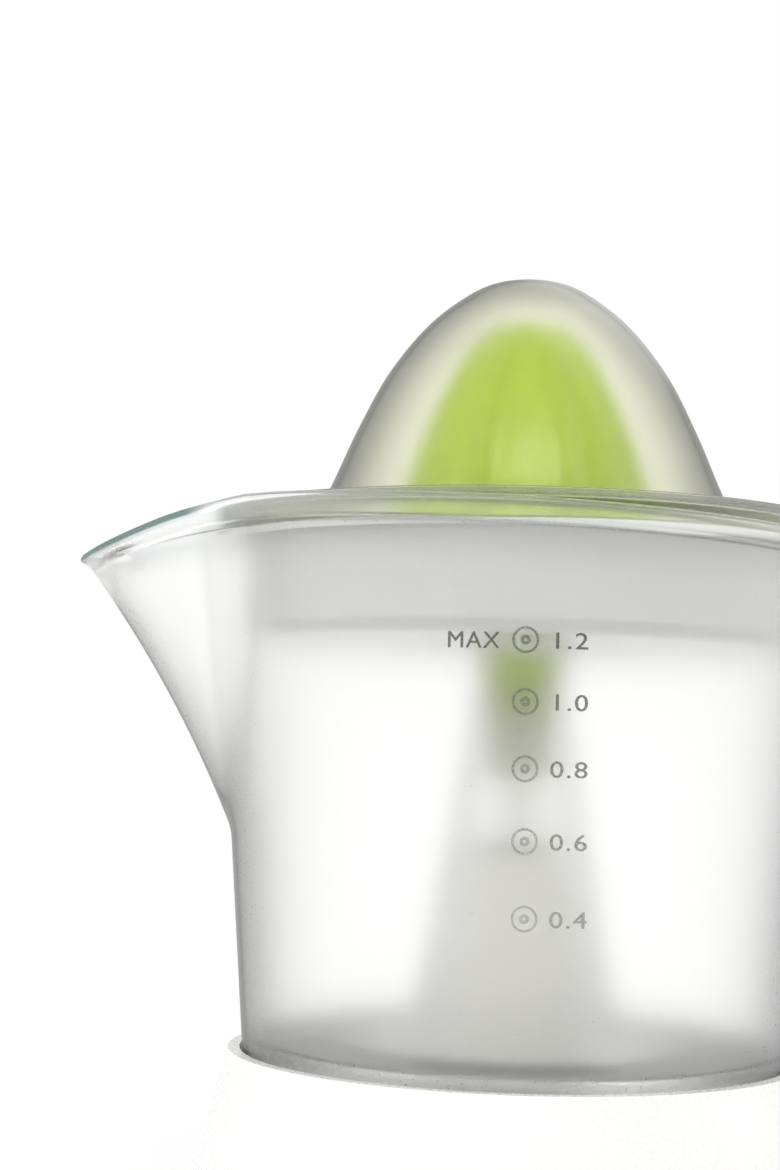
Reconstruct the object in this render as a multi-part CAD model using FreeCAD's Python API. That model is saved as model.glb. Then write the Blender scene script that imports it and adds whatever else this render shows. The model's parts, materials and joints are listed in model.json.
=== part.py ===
import FreeCAD, Part
import math
import os
from FreeCAD import Vector

# Citrus press juicer, millimetres. +Z is up, Z = 0 is the table, the shaft's axis is X = Y = 0,
# the spout points to -X, the handle to +X, and the cord's inlet is at the back, +Y.

# --- running and seating clearances -----------------------------------------------------------
RUN = 0.05            # radial clearance of a shaft in its bearing
SLIP = 0.1            # radial clearance of a part that slides in another
LOOSE = 0.3           # clearance of parts that lift off by hand
SEAT = 0.1            # axial play between a turning part and its seat
OVERCUT = 40.0        # how far a cutting block stands past what it cuts

# --- base -------------------------------------------------------------------------------------
BASE_HEIGHT = 60.0    # table to the deck that carries the jug
BASE_RADIUS = 78.0    # at the bottom edge
BASE_DRAFT = 9.5      # radius lost from the bottom edge to the deck
DECK_RADIUS = BASE_RADIUS - BASE_DRAFT
BASE_WALL = 2.5
BASE_BULGE = 2.0      # how far the side bows outward
LIP_HEIGHT = 2.6      # rim that keeps the jug's foot in place
FOOT_HEIGHT = 2.5
FOOT_RADIUS = 6.0
FOOT_STEM = 3.0
FOOT_CIRCLE = 62.0
PLATE_THICK = 2.5
BOSS_RADIUS = 4.0
BOSS_CIRCLE = 60.0
BOSS_ANGLES = (15, 105, 195, 285)
FOOT_ANGLES = (60, 150, 240, 330)
SCREW_RADIUS = 1.6
SCREW_HEAD = 3.0
SCREW_HEAD_HEIGHT = 1.6
VENT_WIDTH = 3.0
VENT_LENGTH = 12.0
VENT_PITCH = 8.0
VENT_COUNT = 4
VENT_Y = 44.0

# --- tower and shaft --------------------------------------------------------------------------
TOWER_HEIGHT = 50.0   # above the deck
TOWER_RADIUS_LOW = 20.0
TOWER_RADIUS_TOP = 13.0
BUSH_WALL = 3.0
BUSH_LENGTH = 14.0
SEAL_THICK = 2.0
SEAL_WALL = 4.5
SHAFT_RADIUS = 4.0
SHAFT_FLATS = 6.6     # across the hexagon that drives the shaft in the gear
DOG_COLLAR_RADIUS = 7.8
DOG_COLLAR_LENGTH = 22.0
DOG_FLATS = 9.1
PRESS_TRAVEL = 2.5    # how far the cone is pushed down to start the motor

# --- jug --------------------------------------------------------------------------------------
DECK_MARGIN = 4.3     # deck seen round the jug's foot
JUG_FOOT_RADIUS = DECK_RADIUS - DECK_MARGIN
JUG_TAPER = 0.085     # radius gained per millimetre of height
JUG_WALL = 2.0
JUG_FLOOR_LIFT = 2.4  # from the foot ring's edge to the floor's underside
JUG_FLOOR = 2.2
LEDGE_HEIGHT = 121.5  # ledge for the strainer, above the foot
LEDGE_WIDTH = 1.1
RIM_OVER_LEDGE = 5.5
RIM_HEIGHT = LEDGE_HEIGHT + RIM_OVER_LEDGE  # on the axis, above the foot
RIM_TILT = 2.4        # degrees, the rim rises towards the spout
COLLAR_DROP = 4.9     # clear collar below the rim
COLLAR_PROUD = 0.9
RIM_FLARE = 3.0
RIM_WALL = 1.5
COLUMN_RADIUS_TOP = 11.0
COLUMN_RADIUS_KNEE = 11.5
COLUMN_RADIUS_LOW = 26.5
COLUMN_TIP = 13.0     # straight tip above the knee
COLUMN_WALL = 1.8
SPOUT_START = 52.0    # above the foot
SPOUT_SLOPE = 22.7    # degrees from upright where the spout leaves the wall
SPOUT_ARC = 278.0
SPOUT_WIDTH = 24.0    # half width where it meets the wall at the rim
SPOUT_ROOT_WIDTH = 3.0
SPOUT_NOSE = 0.13     # softness of the edge, as a sine off the spout's middle
SPOUT_BLEND = 10.0    # hollow fillet between the spout and the wall
SPOUT_SINK = 0.6      # how far its buried ends lie inside the wall's face
SPOUT_DROOP = 13.6    # the lip's end below the rim's line
DROOP_START = 5.0     # inside the wall
LIP_FLARE = 0.5       # reach gained per millimetre of height near the lip
LIP_BAND = 3.5
SPOUT_LENGTH = 44.5   # from the foot's radius to the lip's end
REACH = JUG_FOOT_RADIUS + SPOUT_LENGTH  # axis to the lip's end, and to the outside of the handle
HANDLE_TOP = 116.0    # above the foot
HANDLE_LOW = 30.0
HANDLE_THICK = 9.0
HANDLE_WIDTH = 19.0
HANDLE_ROUND = 3.5
HANDLE_LEAN = 12.0    # the grip leans in towards its lower end
HANDLE_CORNER_TOP = 16.0
HANDLE_CORNER_LOW = 14.0

# --- strainer ---------------------------------------------------------------------------------
STRAINER_FLANGE = 1.6
STRAINER_WALL = 1.6
STRAINER_DEPTH = 22.3  # from the ledge down to the floor
STRAINER_GAP = 7.0    # from the jug's wall to the basket
STRAINER_TAPER = 2.0
COLLAR_HEIGHT = 11.8  # above the strainer's floor
COLLAR_OVER_COLUMN = 8.0
COLLAR_WALL = 1.8
COLLAR_GAP = 1.3      # between the strainer's collar and the jug's column
SLOT_COUNT = 24
SLOT_WIDTH = 1.8
SLOT_ROWS = ((20.0, 36.0), (40.0, 57.0))

# --- cone -------------------------------------------------------------------------------------
CONE_UNDER_COVER = 10.3
CONE_SKIRT_RADIUS = 38.0
CONE_WALL = 2.2
HUB_RADIUS = 8.4
HUB_LENGTH = 21.0     # below the cone's skirt
SHOULDER_RADIUS = 12.0
SHOULDER_OVER = 4.4   # above the cone's skirt
SOCKET_OVER = 9.0
RIB_COUNT = 8
RIB_HEIGHT = 2.6
RIB_THICK = 3.2
BUSH_FLANGE = 1.5
BUSH_FLANGE_RADIUS = 14.6

# --- cover ------------------------------------------------------------------------------------
DOME_HEIGHT = 58.7    # from the brim to the top
COVER_WALL = 1.8
BRIM_OVER_MOUTH = 0.77
BRIM_OVER_LEDGE = 8.1
COVER_BRIM = 1.6
COVER_FOOT_RADIUS = 50.5

# --- gears ------------------------------------------------------------------------------------
WHEEL_TEETH = 70
PINION_TEETH = 14
FAST_MODULE = 0.7
SLOW_MODULE = 0.8
GEAR_BACKLASH = 0.2
GEAR_FACE = 5.0
SLOW_FACE = 7.0
PRESSURE_ANGLE = math.radians(20)
ADDENDUM = 0.75       # stub teeth, in modules
DEDENDUM = 1.0
OUTPUT_HUB = 8.0
TRAIN_HEIGHT = 24.0   # room for the gear train between the plate and the deck
PLATE_GAUGE = 2.5
PLATE_RADIUS = 57.0
POST_RADIUS = 4.5
POSTS = ((35, 36), (-34, 42), (48, -22), (-11, -58))
AXLE_RADIUS = 2.0
ROTOR_ANGLE = -90.0   # where the rotor stands as seen from the shaft
ROTOR_DISTANCE = 34.0

# --- motor ------------------------------------------------------------------------------------
ROTOR_RADIUS = 9.0
AIR_GAP = 0.6
ROTOR_SHAFT = 1.5
CORE_OVER_PLATE = 8.0
COIL_ROOM = 7.0       # from the core up to the gearbox plate
CORE_POLE = 14.0      # half the width of the pole block
CORE_LEG = 8.0
CORE_LENGTH = 56.0
CORE_YOKE = 6.0
BOBBIN_LENGTH = 20.0
BOBBIN_WALL = 1.0
COIL_DEPTH = 3.4
BEARING_WALL = 2.0

# --- switch and spring ------------------------------------------------------------------------
CUP_RADIUS = 6.0
CUP_DROP = 6.0        # below the gearbox plate
GUIDE_WALL = 2.0
SPRING_RADIUS = 4.4
SPRING_WIRE = 1.0
SPRING_TURNS = 5
ARM_REACH = 20.0
ARM_THICK = 2.0
ARM_WIDTH = 6.0
SWITCH_WIDTH = 10.0
SWITCH_DEPTH = 18.0
SWITCH_ROOM = 15.0   # from the table to the switch and the arm's travel
PLUNGER_RADIUS = 1.6

# --- cord inlet -------------------------------------------------------------------------------
GLAND_RADIUS = 5.0
GLAND_BORE = 3.4
GLAND_FLANGE = 7.0
GLAND_Z = 15.0
GLAND_STANDOFF = 1.6

# --- worked out from the sizes above ----------------------------------------------------------
DECK_UNDER = BASE_HEIGHT - BASE_WALL
PLATE_TOP = FOOT_HEIGHT + PLATE_THICK
PLATE_LEVEL = BASE_HEIGHT - TRAIN_HEIGHT
TOWER_TOP = BASE_HEIGHT + TOWER_HEIGHT
CORE_LOW = PLATE_TOP + CORE_OVER_PLATE
CORE_STACK = PLATE_LEVEL - COIL_ROOM - CORE_LOW
CUP_FLOOR = PLATE_LEVEL - CUP_DROP
SWITCH_SIZE = (SWITCH_WIDTH, SWITCH_DEPTH, CUP_FLOOR - SWITCH_ROOM)
LEDGE_Z = BASE_HEIGHT + LEDGE_HEIGHT
RIM_Z = BASE_HEIGHT + RIM_HEIGHT
RIM_SLOPE = math.tan(math.radians(RIM_TILT))
FLANGE_TOP = LEDGE_Z + STRAINER_FLANGE
STRAINER_FLOOR = LEDGE_Z - STRAINER_DEPTH
COLLAR_TOP = STRAINER_FLOOR + COLLAR_HEIGHT
COLUMN_TOP = COLLAR_TOP - COLLAR_OVER_COLUMN
COLUMN_KNEE = COLUMN_TOP - COLUMN_TIP
CONE_SKIRT_Z = COLLAR_TOP
HUB_LOW = CONE_SKIRT_Z - HUB_LENGTH
SHOULDER_Z = CONE_SKIRT_Z + SHOULDER_OVER
SOCKET_TOP = CONE_SKIRT_Z + SOCKET_OVER
DOG_COLLAR_LOW = HUB_LOW - DOG_COLLAR_LENGTH
COVER_BRIM_TOP = LEDGE_Z + BRIM_OVER_LEDGE
COVER_HEIGHT = COVER_BRIM_TOP + DOME_HEIGHT
CONE_TIP = COVER_HEIGHT - CONE_UNDER_COVER
FAST_CENTRES = FAST_MODULE * (WHEEL_TEETH + PINION_TEETH) / 2
SLOW_CENTRES = SLOW_MODULE * (WHEEL_TEETH + PINION_TEETH) / 2
GEAR_BOTTOM = PLATE_LEVEL + PLATE_GAUGE + 2.0
SLOW_BOTTOM = GEAR_BOTTOM + GEAR_FACE + 1.5
HUB_TOP = SLOW_BOTTOM + SLOW_FACE + 2.0
BUSH_RADIUS = BUSH_WALL + SHAFT_RADIUS + RUN


def jug_radius(z):
    """Outside of the jug's tapered wall at height z."""
    return JUG_FOOT_RADIUS + JUG_TAPER * (z - BASE_HEIGHT)


LEDGE_INNER = jug_radius(LEDGE_Z) - JUG_WALL
MOUTH_RADIUS = LEDGE_INNER + LEDGE_WIDTH
STRAINER_RADIUS = LEDGE_INNER - STRAINER_GAP
COVER_BRIM_RADIUS = MOUTH_RADIUS + BRIM_OVER_MOUTH
COLLAR_INNER = COLUMN_RADIUS_TOP + COLLAR_GAP


def base_radius(z):
    """Outside of the base at height z: a straight taper with a shallow bow."""
    u = (z - FOOT_HEIGHT) / (BASE_HEIGHT - FOOT_HEIGHT)
    return BASE_RADIUS + (DECK_RADIUS - BASE_RADIUS) * u + BASE_BULGE * 4 * u * (1 - u)


def column_radius(z):
    """Outside of the jug's column below its knee."""
    low = BASE_HEIGHT + JUG_FLOOR_LIFT
    return COLUMN_RADIUS_LOW + (COLUMN_RADIUS_KNEE - COLUMN_RADIUS_LOW) * (z - low) / (COLUMN_KNEE - low)


# --- building blocks --------------------------------------------------------------------------
def disc(radius, low, high, x=0.0, y=0.0):
    return Part.makeCylinder(radius, high - low, Vector(x, y, low))


def ring(outer, inner, low, high, x=0.0, y=0.0):
    return disc(outer, low, high, x, y).cut(disc(inner, low - 1, high + 1, x, y))


def block(low, high):
    return Part.makeBox(high[0] - low[0], high[1] - low[1], high[2] - low[2], Vector(*low))


def revolve(edges):
    """Solid of revolution about Z from edges or (radius, height) corners in the XZ plane."""
    if not isinstance(edges[0], Part.Edge):
        corners = [Vector(r, 0, z) for r, z in edges]
        edges = Part.makePolygon(corners + corners[:1]).Edges
    face = Part.Face(Part.Wire(Part.__sortEdges__(edges)))
    solid = face.revolve(Vector(0, 0, 0), Vector(0, 0, 1), 360)
    return Part.Solid(solid.Shells[0]) if solid.ShapeType != "Solid" else solid


def polar(radius, degrees):
    return radius * math.cos(math.radians(degrees)), radius * math.sin(math.radians(degrees))


def turned(shape, degrees):
    copy = shape.copy()
    copy.rotate(Vector(0, 0, 0), Vector(0, 0, 1), degrees)
    return copy


def tilted(shape):
    """The shape with its level planes laid parallel to the jug's rim."""
    copy = shape.copy()
    copy.rotate(Vector(0, 0, RIM_Z), Vector(0, 1, 0), RIM_TILT)
    return copy


def hexagon(flats, low, high):
    corners = [Vector(*polar(flats / math.sqrt(3), 60 * i), low) for i in range(7)]
    return Part.Face(Part.makePolygon(corners)).extrude(Vector(0, 0, high - low))


def spline_edge(points, start=None, end=None):
    curve = Part.BSplineCurve()
    vectors = [Vector(r, 0, z) for r, z in points]
    if start and end:
        curve.interpolate(Points=vectors, InitialTangent=Vector(*start), FinalTangent=Vector(*end))
    else:
        curve.interpolate(Points=vectors)
    return curve.toShape()


def line(a, b):
    return Part.LineSegment(Vector(a[0], 0, a[1]), Vector(b[0], 0, b[1])).toShape()


def gear(teeth, module, low, high, toward, tooth_there, flank_points):
    """Stub involute gear about the origin; a tooth or a gap points in the direction toward."""
    pitch = module * teeth / 2
    base = pitch * math.cos(PRESSURE_ANGLE)
    tip = pitch + ADDENDUM * module
    root = pitch - DEDENDUM * module
    half = math.pi / (2 * teeth) - GEAR_BACKLASH / (4 * pitch)
    flat = math.tan(PRESSURE_ANGLE) - PRESSURE_ANGLE
    start = max(root, base)
    radii = [start + (tip - start) * i / (flank_points - 1) for i in range(flank_points)]
    flank = []
    for radius in radii:
        roll = math.acos(min(1.0, base / radius))
        flank.append((radius, half + flat - (math.tan(roll) - roll)))
    if root < base:
        flank.insert(0, (root, flank[0][1]))
    corners = []
    turn = toward + (0 if tooth_there else math.pi / teeth)
    for i in range(teeth):
        middle = turn + 2 * math.pi * i / teeth
        for radius, angle in flank:
            at = middle - angle
            corners.append(Vector(radius * math.cos(at), radius * math.sin(at), low))
        for radius, angle in reversed(flank):
            at = middle + angle
            corners.append(Vector(radius * math.cos(at), radius * math.sin(at), low))
    return Part.Face(Part.makePolygon(corners + corners[:1])).extrude(Vector(0, 0, high - low))


def screw(x, y, head_low, length):
    """Pan-headed screw pointing up, head at the bottom."""
    head = disc(SCREW_HEAD, head_low, head_low + SCREW_HEAD_HEIGHT, x, y)
    return head.fuse(disc(SCREW_RADIUS, head_low, head_low + length, x, y))


def screws(places, head_low, length):
    """The same screw at several (x, y) places."""
    return Part.makeCompound([screw(x, y, head_low, length) for x, y in places])


def save(name, shape):
    solid = shape.removeSplitter()
    solid.exportStep("parts/%s.step" % name)
    print("%-16s %d solid, valid %s, %.0f mm3" % (name, len(solid.Solids), solid.isValid(), solid.Volume))


# --- gear train positions ---------------------------------------------------------------------
ROTOR = polar(ROTOR_DISTANCE, ROTOR_ANGLE)
# the idler meshes with both wheels, so its place is a corner of the triangle of their centres
IDLER_COSINE = ((SLOW_CENTRES ** 2 + ROTOR_DISTANCE ** 2 - FAST_CENTRES ** 2)
                / (2 * SLOW_CENTRES * ROTOR_DISTANCE))
IDLER_ANGLE = ROTOR_ANGLE - math.degrees(math.acos(IDLER_COSINE))
IDLER = polar(SLOW_CENTRES, IDLER_ANGLE)
IDLER_TO_ROTOR = math.atan2(ROTOR[1] - IDLER[1], ROTOR[0] - IDLER[0])


# --- jug --------------------------------------------------------------------------------------
def lip_height(x):
    """Height of the rim's line at x: the slant, less the lip's droop past the wall."""
    start = DROOP_START - jug_radius(RIM_Z)
    past = max(0.0, (start - x) / (REACH + start))
    return RIM_Z - RIM_SLOPE * x - SPOUT_DROOP * past ** 1.35


def spout_reach(z):
    """How far the spout's edge stands from the axis at height z: an arc and a flare."""
    low = BASE_HEIGHT + SPOUT_START
    start = math.sin(math.radians(SPOUT_SLOPE))
    angle = math.asin(min(0.95, start + max(0.0, z - low) / SPOUT_ARC))
    out = SPOUT_ARC * (math.cos(math.radians(SPOUT_SLOPE)) - math.cos(angle))
    flare = LIP_FLARE * max(0.0, z - lip_height(-REACH) + LIP_BAND) ** 2 / LIP_BAND
    return min(jug_radius(low) + out + flare, REACH)


def spout_radius(off, z, inset):
    """Radius of the wall with its spout, at an angle off the spout's middle and a height.

    The spout is a wedge whose two flanks run back to the wall. Wall and wedge are joined by a
    smooth maximum, half the sum plus half the root of the squared difference and the squared
    blend, which gives the hollow fillet. It fades out beside the spout, and there and at its
    lower end the line sinks into the wall.
    """
    wall = jug_radius(z) - inset
    low = BASE_HEIGHT + SPOUT_START
    share = min(1.0, max(0.0, (z - low) / (RIM_Z - low)))
    half = SPOUT_ROOT_WIDTH + (SPOUT_WIDTH - SPOUT_ROOT_WIDTH) * share - inset * 0.6
    size = SPOUT_BLEND * min(1.0, share * 2.5 + 0.12)
    proud = max(0.3, spout_reach(z) - inset * 1.25 - wall)
    tip = wall + proud - size ** 2 / (4 * max(proud, size / 2))
    back = math.sqrt(wall ** 2 - half ** 2)
    lean = half / max(tip - back, 1.5)
    nose = SPOUT_NOSE * math.sqrt(share)
    soft = math.hypot(math.sin(off), nose) - nose
    gap = tip * lean / (soft + math.cos(off) * lean) - wall
    window = min(1.0, max(0.0, (spout_spread(z, inset) - abs(off)) / 0.16))
    window = window ** 2 * (3 - 2 * window)
    buried = min(1.0, max(0.0, (low + 5 - z) / 5))
    return wall + (gap + math.hypot(gap, size)) / 2 * window - SPOUT_SINK * max(1 - window, buried * 2)


def spout_spread(z, inset):
    """Half angle that the spout takes of the wall at height z."""
    low = BASE_HEIGHT + SPOUT_START
    share = min(1.0, max(0.0, (z - low) / (RIM_Z - low)))
    half = SPOUT_ROOT_WIDTH + (SPOUT_WIDTH - SPOUT_ROOT_WIDTH) * share - inset * 0.6
    return math.asin(half / (jug_radius(z) - inset)) + 0.2


def spout_section(z, inset):
    """Closed outline of the spout at height z: its smooth line and a chord inside the wall."""
    count = 12
    spread = spout_spread(z, inset)
    points = []
    for i in range(-count, count + 1):
        off = spread * math.sin(math.radians(90.0 * i / count)) * 0.35 + spread * 0.65 * i / count
        radius = spout_radius(off, z, inset)
        points.append(Vector(-radius * math.cos(off), radius * math.sin(off), z))
    curve = Part.BSplineCurve()
    curve.interpolate(Points=points, Parameters=[float(i) for i in range(len(points))])
    return Part.Wire([curve.toShape(), Part.LineSegment(points[-1], points[0]).toShape()])


def spout(inset):
    low = BASE_HEIGHT + SPOUT_START
    tip = lip_height(-REACH)
    levels = [low - 3, low + 3, low + 9]
    levels += [low + 9 + (tip - LIP_BAND - low - 9) * i / 5 for i in range(1, 6)]
    levels += [tip + 0.5, RIM_Z, RIM_Z + 10]
    return Part.makeLoft([spout_section(z, inset) for z in levels], True, False)


def above_rim():
    """Everything above the rim's slanted line and the drooping lip."""
    high = RIM_Z + OVERCUT
    back = REACH + OVERCUT
    root = DROOP_START - jug_radius(RIM_Z)
    tip = -REACH - 1.5
    line_points = [Vector(root + (tip - root) * i / 8, 0, lip_height(root + (tip - root) * i / 8))
                   for i in range(9)]
    droop = Part.BSplineCurve()
    droop.interpolate(line_points)
    end = Vector(-back, 0, line_points[-1].z - 10)
    corners = [end, Vector(-back, 0, high), Vector(back, 0, high), Vector(back, 0, lip_height(back)),
               line_points[0]]
    edges = [droop.toShape(), Part.LineSegment(line_points[-1], end).toShape()]
    edges += [Part.LineSegment(a, b).toShape() for a, b in zip(corners, corners[1:])]
    face = Part.Face(Part.Wire(edges))
    face.translate(Vector(0, -BASE_RADIUS * 2, 0))
    return face.extrude(Vector(0, BASE_RADIUS * 4, 0))


def rim_collar():
    """Clear flared collar, parallel to the slanted rim."""
    low = RIM_Z - COLLAR_DROP
    radius = jug_radius(low)
    over = 3.0
    grow = RIM_FLARE / COLLAR_DROP
    high = RIM_Z + over
    return tilted(revolve([(0, low), (radius + COLLAR_PROUD, low),
                           (radius + COLLAR_PROUD + RIM_FLARE + over * grow, high), (0, high)]))


def jug_cavity():
    floor = BASE_HEIGHT + JUG_FLOOR_LIFT + JUG_FLOOR
    high = RIM_Z + 12
    corner = jug_radius(floor) - JUG_WALL
    inside = revolve([(0, floor), (corner - 3, floor), (corner, floor + 3), (LEDGE_INNER, LEDGE_Z),
                      (MOUTH_RADIUS, LEDGE_Z), (MOUTH_RADIUS, high), (0, high)])
    flare_low = RIM_Z - COLLAR_DROP * 0.6
    outer_top = jug_radius(RIM_Z - COLLAR_DROP) + COLLAR_PROUD + RIM_FLARE
    grow = (outer_top - RIM_WALL - MOUTH_RADIUS) / (RIM_Z - flare_low)
    below = 3.0
    mouth = tilted(revolve([(0, flare_low - below), (MOUTH_RADIUS - below * grow, flare_low - below),
                            (outer_top - RIM_WALL + 8 * grow, RIM_Z + 8), (0, RIM_Z + 8)]))
    return inside.fuse(mouth).fuse(spout(JUG_WALL))


def column(inset):
    low = BASE_HEIGHT + JUG_FLOOR_LIFT
    top = COLUMN_TOP + (1 if inset else 0)
    low_z = low - (1 if inset else 0)
    return revolve([(0, low_z), (column_radius(low_z) - inset, low_z),
                    (COLUMN_RADIUS_KNEE - inset, COLUMN_KNEE),
                    (COLUMN_RADIUS_TOP - inset, COLUMN_KNEE + 3), (COLUMN_RADIUS_TOP - inset, top), (0, top)])


def rounded_path(corners, radii):
    """Wire in the XZ plane through the corners, each inner corner rounded by a tangent arc."""
    edges = []
    last = Vector(corners[0][0], 0, corners[0][1])
    for i in range(1, len(corners) - 1):
        before, corner, after = [Vector(x, 0, z) for x, z in corners[i - 1:i + 2]]
        back = (before - corner).normalize()
        ahead = (after - corner).normalize()
        half = back.getAngle(ahead) / 2
        reach = radii[i - 1] / math.tan(half)
        start = corner + back * reach
        end = corner + ahead * reach
        bisector = (back + ahead).normalize()
        middle = corner + bisector * (radii[i - 1] / math.sin(half) - radii[i - 1])
        edges.append(Part.LineSegment(last, start).toShape())
        edges.append(Part.Arc(start, middle, end).toShape())
        last = end
    edges.append(Part.LineSegment(last, Vector(corners[-1][0], 0, corners[-1][1])).toShape())
    return Part.Wire(edges)


def handle():
    """Loop handle: a rounded grip section swept from the rim to the lower wall."""
    half_thick = HANDLE_THICK / 2
    top = BASE_HEIGHT + HANDLE_TOP - half_thick
    low = BASE_HEIGHT + HANDLE_LOW + half_thick
    outside = REACH - half_thick
    start = jug_radius(low) - JUG_WALL
    path = rounded_path([(start, top), (outside, top), (outside - HANDLE_LEAN, low), (start, low)],
                        [HANDLE_CORNER_TOP, HANDLE_CORNER_LOW])
    half_wide = HANDLE_WIDTH / 2
    flat_y = half_wide - HANDLE_ROUND
    flat_z = half_thick - HANDLE_ROUND
    arc = HANDLE_ROUND * math.sqrt(0.5)
    section = []
    for sy, sz in ((1, 1), (-1, 1), (-1, -1), (1, -1)):
        ends = [Vector(start, sy * half_wide, top + sz * flat_z),
                Vector(start, sy * flat_y, top + sz * half_thick)]
        middle = Vector(start, sy * (flat_y + arc), top + sz * (flat_z + arc))
        if sy * sz < 0:
            ends.reverse()
        section.append(Part.Arc(ends[0], middle, ends[1]).toShape())
    wires = []
    for i in range(4):
        wires.append(section[i])
        first = section[i].Vertexes[-1].Point
        second = section[(i + 1) % 4].Vertexes[0].Point
        wires.append(Part.LineSegment(first, second).toShape())
    return path.makePipeShell([Part.Wire(wires)], True, True)


def make_jug():
    foot = BASE_HEIGHT
    high = RIM_Z + 8
    outside = revolve([(0, foot), (jug_radius(foot), foot), (jug_radius(high), high), (0, high)])
    recess = revolve([(0, foot - 1), (jug_radius(foot) - JUG_WALL, foot - 1),
                      (jug_radius(foot) - JUG_WALL, foot + JUG_FLOOR_LIFT), (0, foot + JUG_FLOOR_LIFT)])
    shell = outside.fuse(rim_collar()).fuse(spout(0.0)).fuse(handle())
    shell = shell.cut(jug_cavity()).cut(recess)
    shell = shell.fuse(column(0.0)).cut(column(COLUMN_WALL))
    return shell.cut(above_rim())


# --- strainer, cone and cover -----------------------------------------------------------------
def make_strainer():
    low = STRAINER_FLOOR
    floor = low + STRAINER_WALL + 0.6
    outer = MOUTH_RADIUS - LOOSE
    inner = STRAINER_RADIUS
    collar = COLLAR_INNER
    collar_low = low - 2.0
    sleeve = collar + COLLAR_WALL
    brink = inner + STRAINER_TAPER
    body = revolve([(collar, collar_low), (sleeve, collar_low), (sleeve, low),
                    (inner - STRAINER_TAPER, low), (inner, low + 3), (brink, LEDGE_Z),
                    (outer, LEDGE_Z), (outer, FLANGE_TOP), (brink - STRAINER_WALL, FLANGE_TOP),
                    (inner - STRAINER_WALL, low + 4), (inner - STRAINER_TAPER - STRAINER_WALL, floor),
                    (sleeve, floor), (sleeve, COLLAR_TOP), (collar, COLLAR_TOP)])
    slots = []
    for start, end in SLOT_ROWS:
        slot = block((start, -SLOT_WIDTH / 2, low - 1), (end, SLOT_WIDTH / 2, floor + 1))
        for i in range(SLOT_COUNT):
            slots.append(turned(slot, 360.0 * (i + 0.5) / SLOT_COUNT))
    return body.cut(Part.makeCompound(slots))


def cone_outline(offset):
    """Outline of the pressing cone's skin from its skirt to its tip, moved inward by offset."""
    shape = ((1.0, 0.0), (0.84, 0.18), (0.71, 0.44), (0.52, 0.70), (0.28, 0.92), (0.0, 1.0))
    inside = CONE_TIP - offset * 1.3
    radius = CONE_SKIRT_RADIUS - offset
    return [(radius * r, CONE_SKIRT_Z + (inside - CONE_SKIRT_Z) * h) for r, h in shape]


def cone_body(offset, low):
    points = cone_outline(offset)
    skin = spline_edge(points, (-0.9, 0, 0.5), (-1, 0, 0))
    start = points[0]
    edges = [skin, line((0, points[-1][1]), (0, low)), line((0, low), (start[0], low))]
    if low < start[1] - 0.001:
        edges.append(line((start[0], low), start))
    return revolve(edges)


def make_cone():
    rim = 2.0
    skin = cone_body(0.0, CONE_SKIRT_Z - rim)
    ribs = []
    height = CONE_TIP - CONE_SKIRT_Z
    tall = cone_body(-RIB_HEIGHT, CONE_SKIRT_Z)
    inner = CONE_SKIRT_RADIUS * 0.84
    wedge = block((0, -RIB_THICK / 2, CONE_SKIRT_Z + height * 0.1), (inner, RIB_THICK / 2, CONE_TIP - 1.0))
    for i in range(RIB_COUNT):
        ribs.append(turned(wedge.common(tall), 360.0 * (i + 0.5) / RIB_COUNT))
    solid = skin
    for rib in ribs:
        solid = solid.fuse(rib)
    hollow = cone_body(CONE_WALL, CONE_SKIRT_Z - rim - 1)
    hub = disc(HUB_RADIUS, HUB_LOW, CONE_TIP).fuse(disc(SHOULDER_RADIUS, SHOULDER_Z, SHOULDER_Z + 12))
    solid = solid.cut(hollow).fuse(hub.common(hollow.fuse(disc(HUB_RADIUS, HUB_LOW, CONE_SKIRT_Z))))
    socket = hexagon(DOG_FLATS + 4 * SLIP, HUB_LOW - 1, SOCKET_TOP)
    return solid.cut(socket)


def make_cone_bush():
    bore = HUB_RADIUS + RUN
    outer = COLLAR_INNER - SLIP
    top = SHOULDER_Z - SEAT
    low = COLUMN_TOP + PRESS_TRAVEL + 1.0
    return ring(outer, bore, low, top).fuse(ring(BUSH_FLANGE_RADIUS, bore, top - BUSH_FLANGE, top))


def cover_outline(wall):
    """Dome from its foot to the top; wall moves it inward along its own normals."""
    top = COVER_HEIGHT
    high = COVER_HEIGHT - COVER_BRIM_TOP
    shape = ((COVER_FOOT_RADIUS, 0.0), (47.0, 0.13), (40.9, 0.37), (33.1, 0.62), (20.0, 0.873), (0.0, 1.0))
    points = [(r, COVER_BRIM_TOP + high * h) for r, h in shape]
    curve = Part.BSplineCurve()
    curve.interpolate(Points=[Vector(r, 0, z) for r, z in points],
                      InitialTangent=Vector(-0.9, 0, 0.8), FinalTangent=Vector(-1, 0, 0))
    if not wall:
        return curve.toShape(), points[0], top
    moved = []
    for r, z in points:
        tangent = curve.tangent(curve.parameter(Vector(r, 0, z)))[0]
        moved.append((max(0.0, r - wall * tangent.z), z + wall * tangent.x))
    moved[-1] = (0.0, top - wall)
    return spline_edge(moved, (-0.9, 0, 0.8), (-1, 0, 0)), moved[0], top - wall


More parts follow.
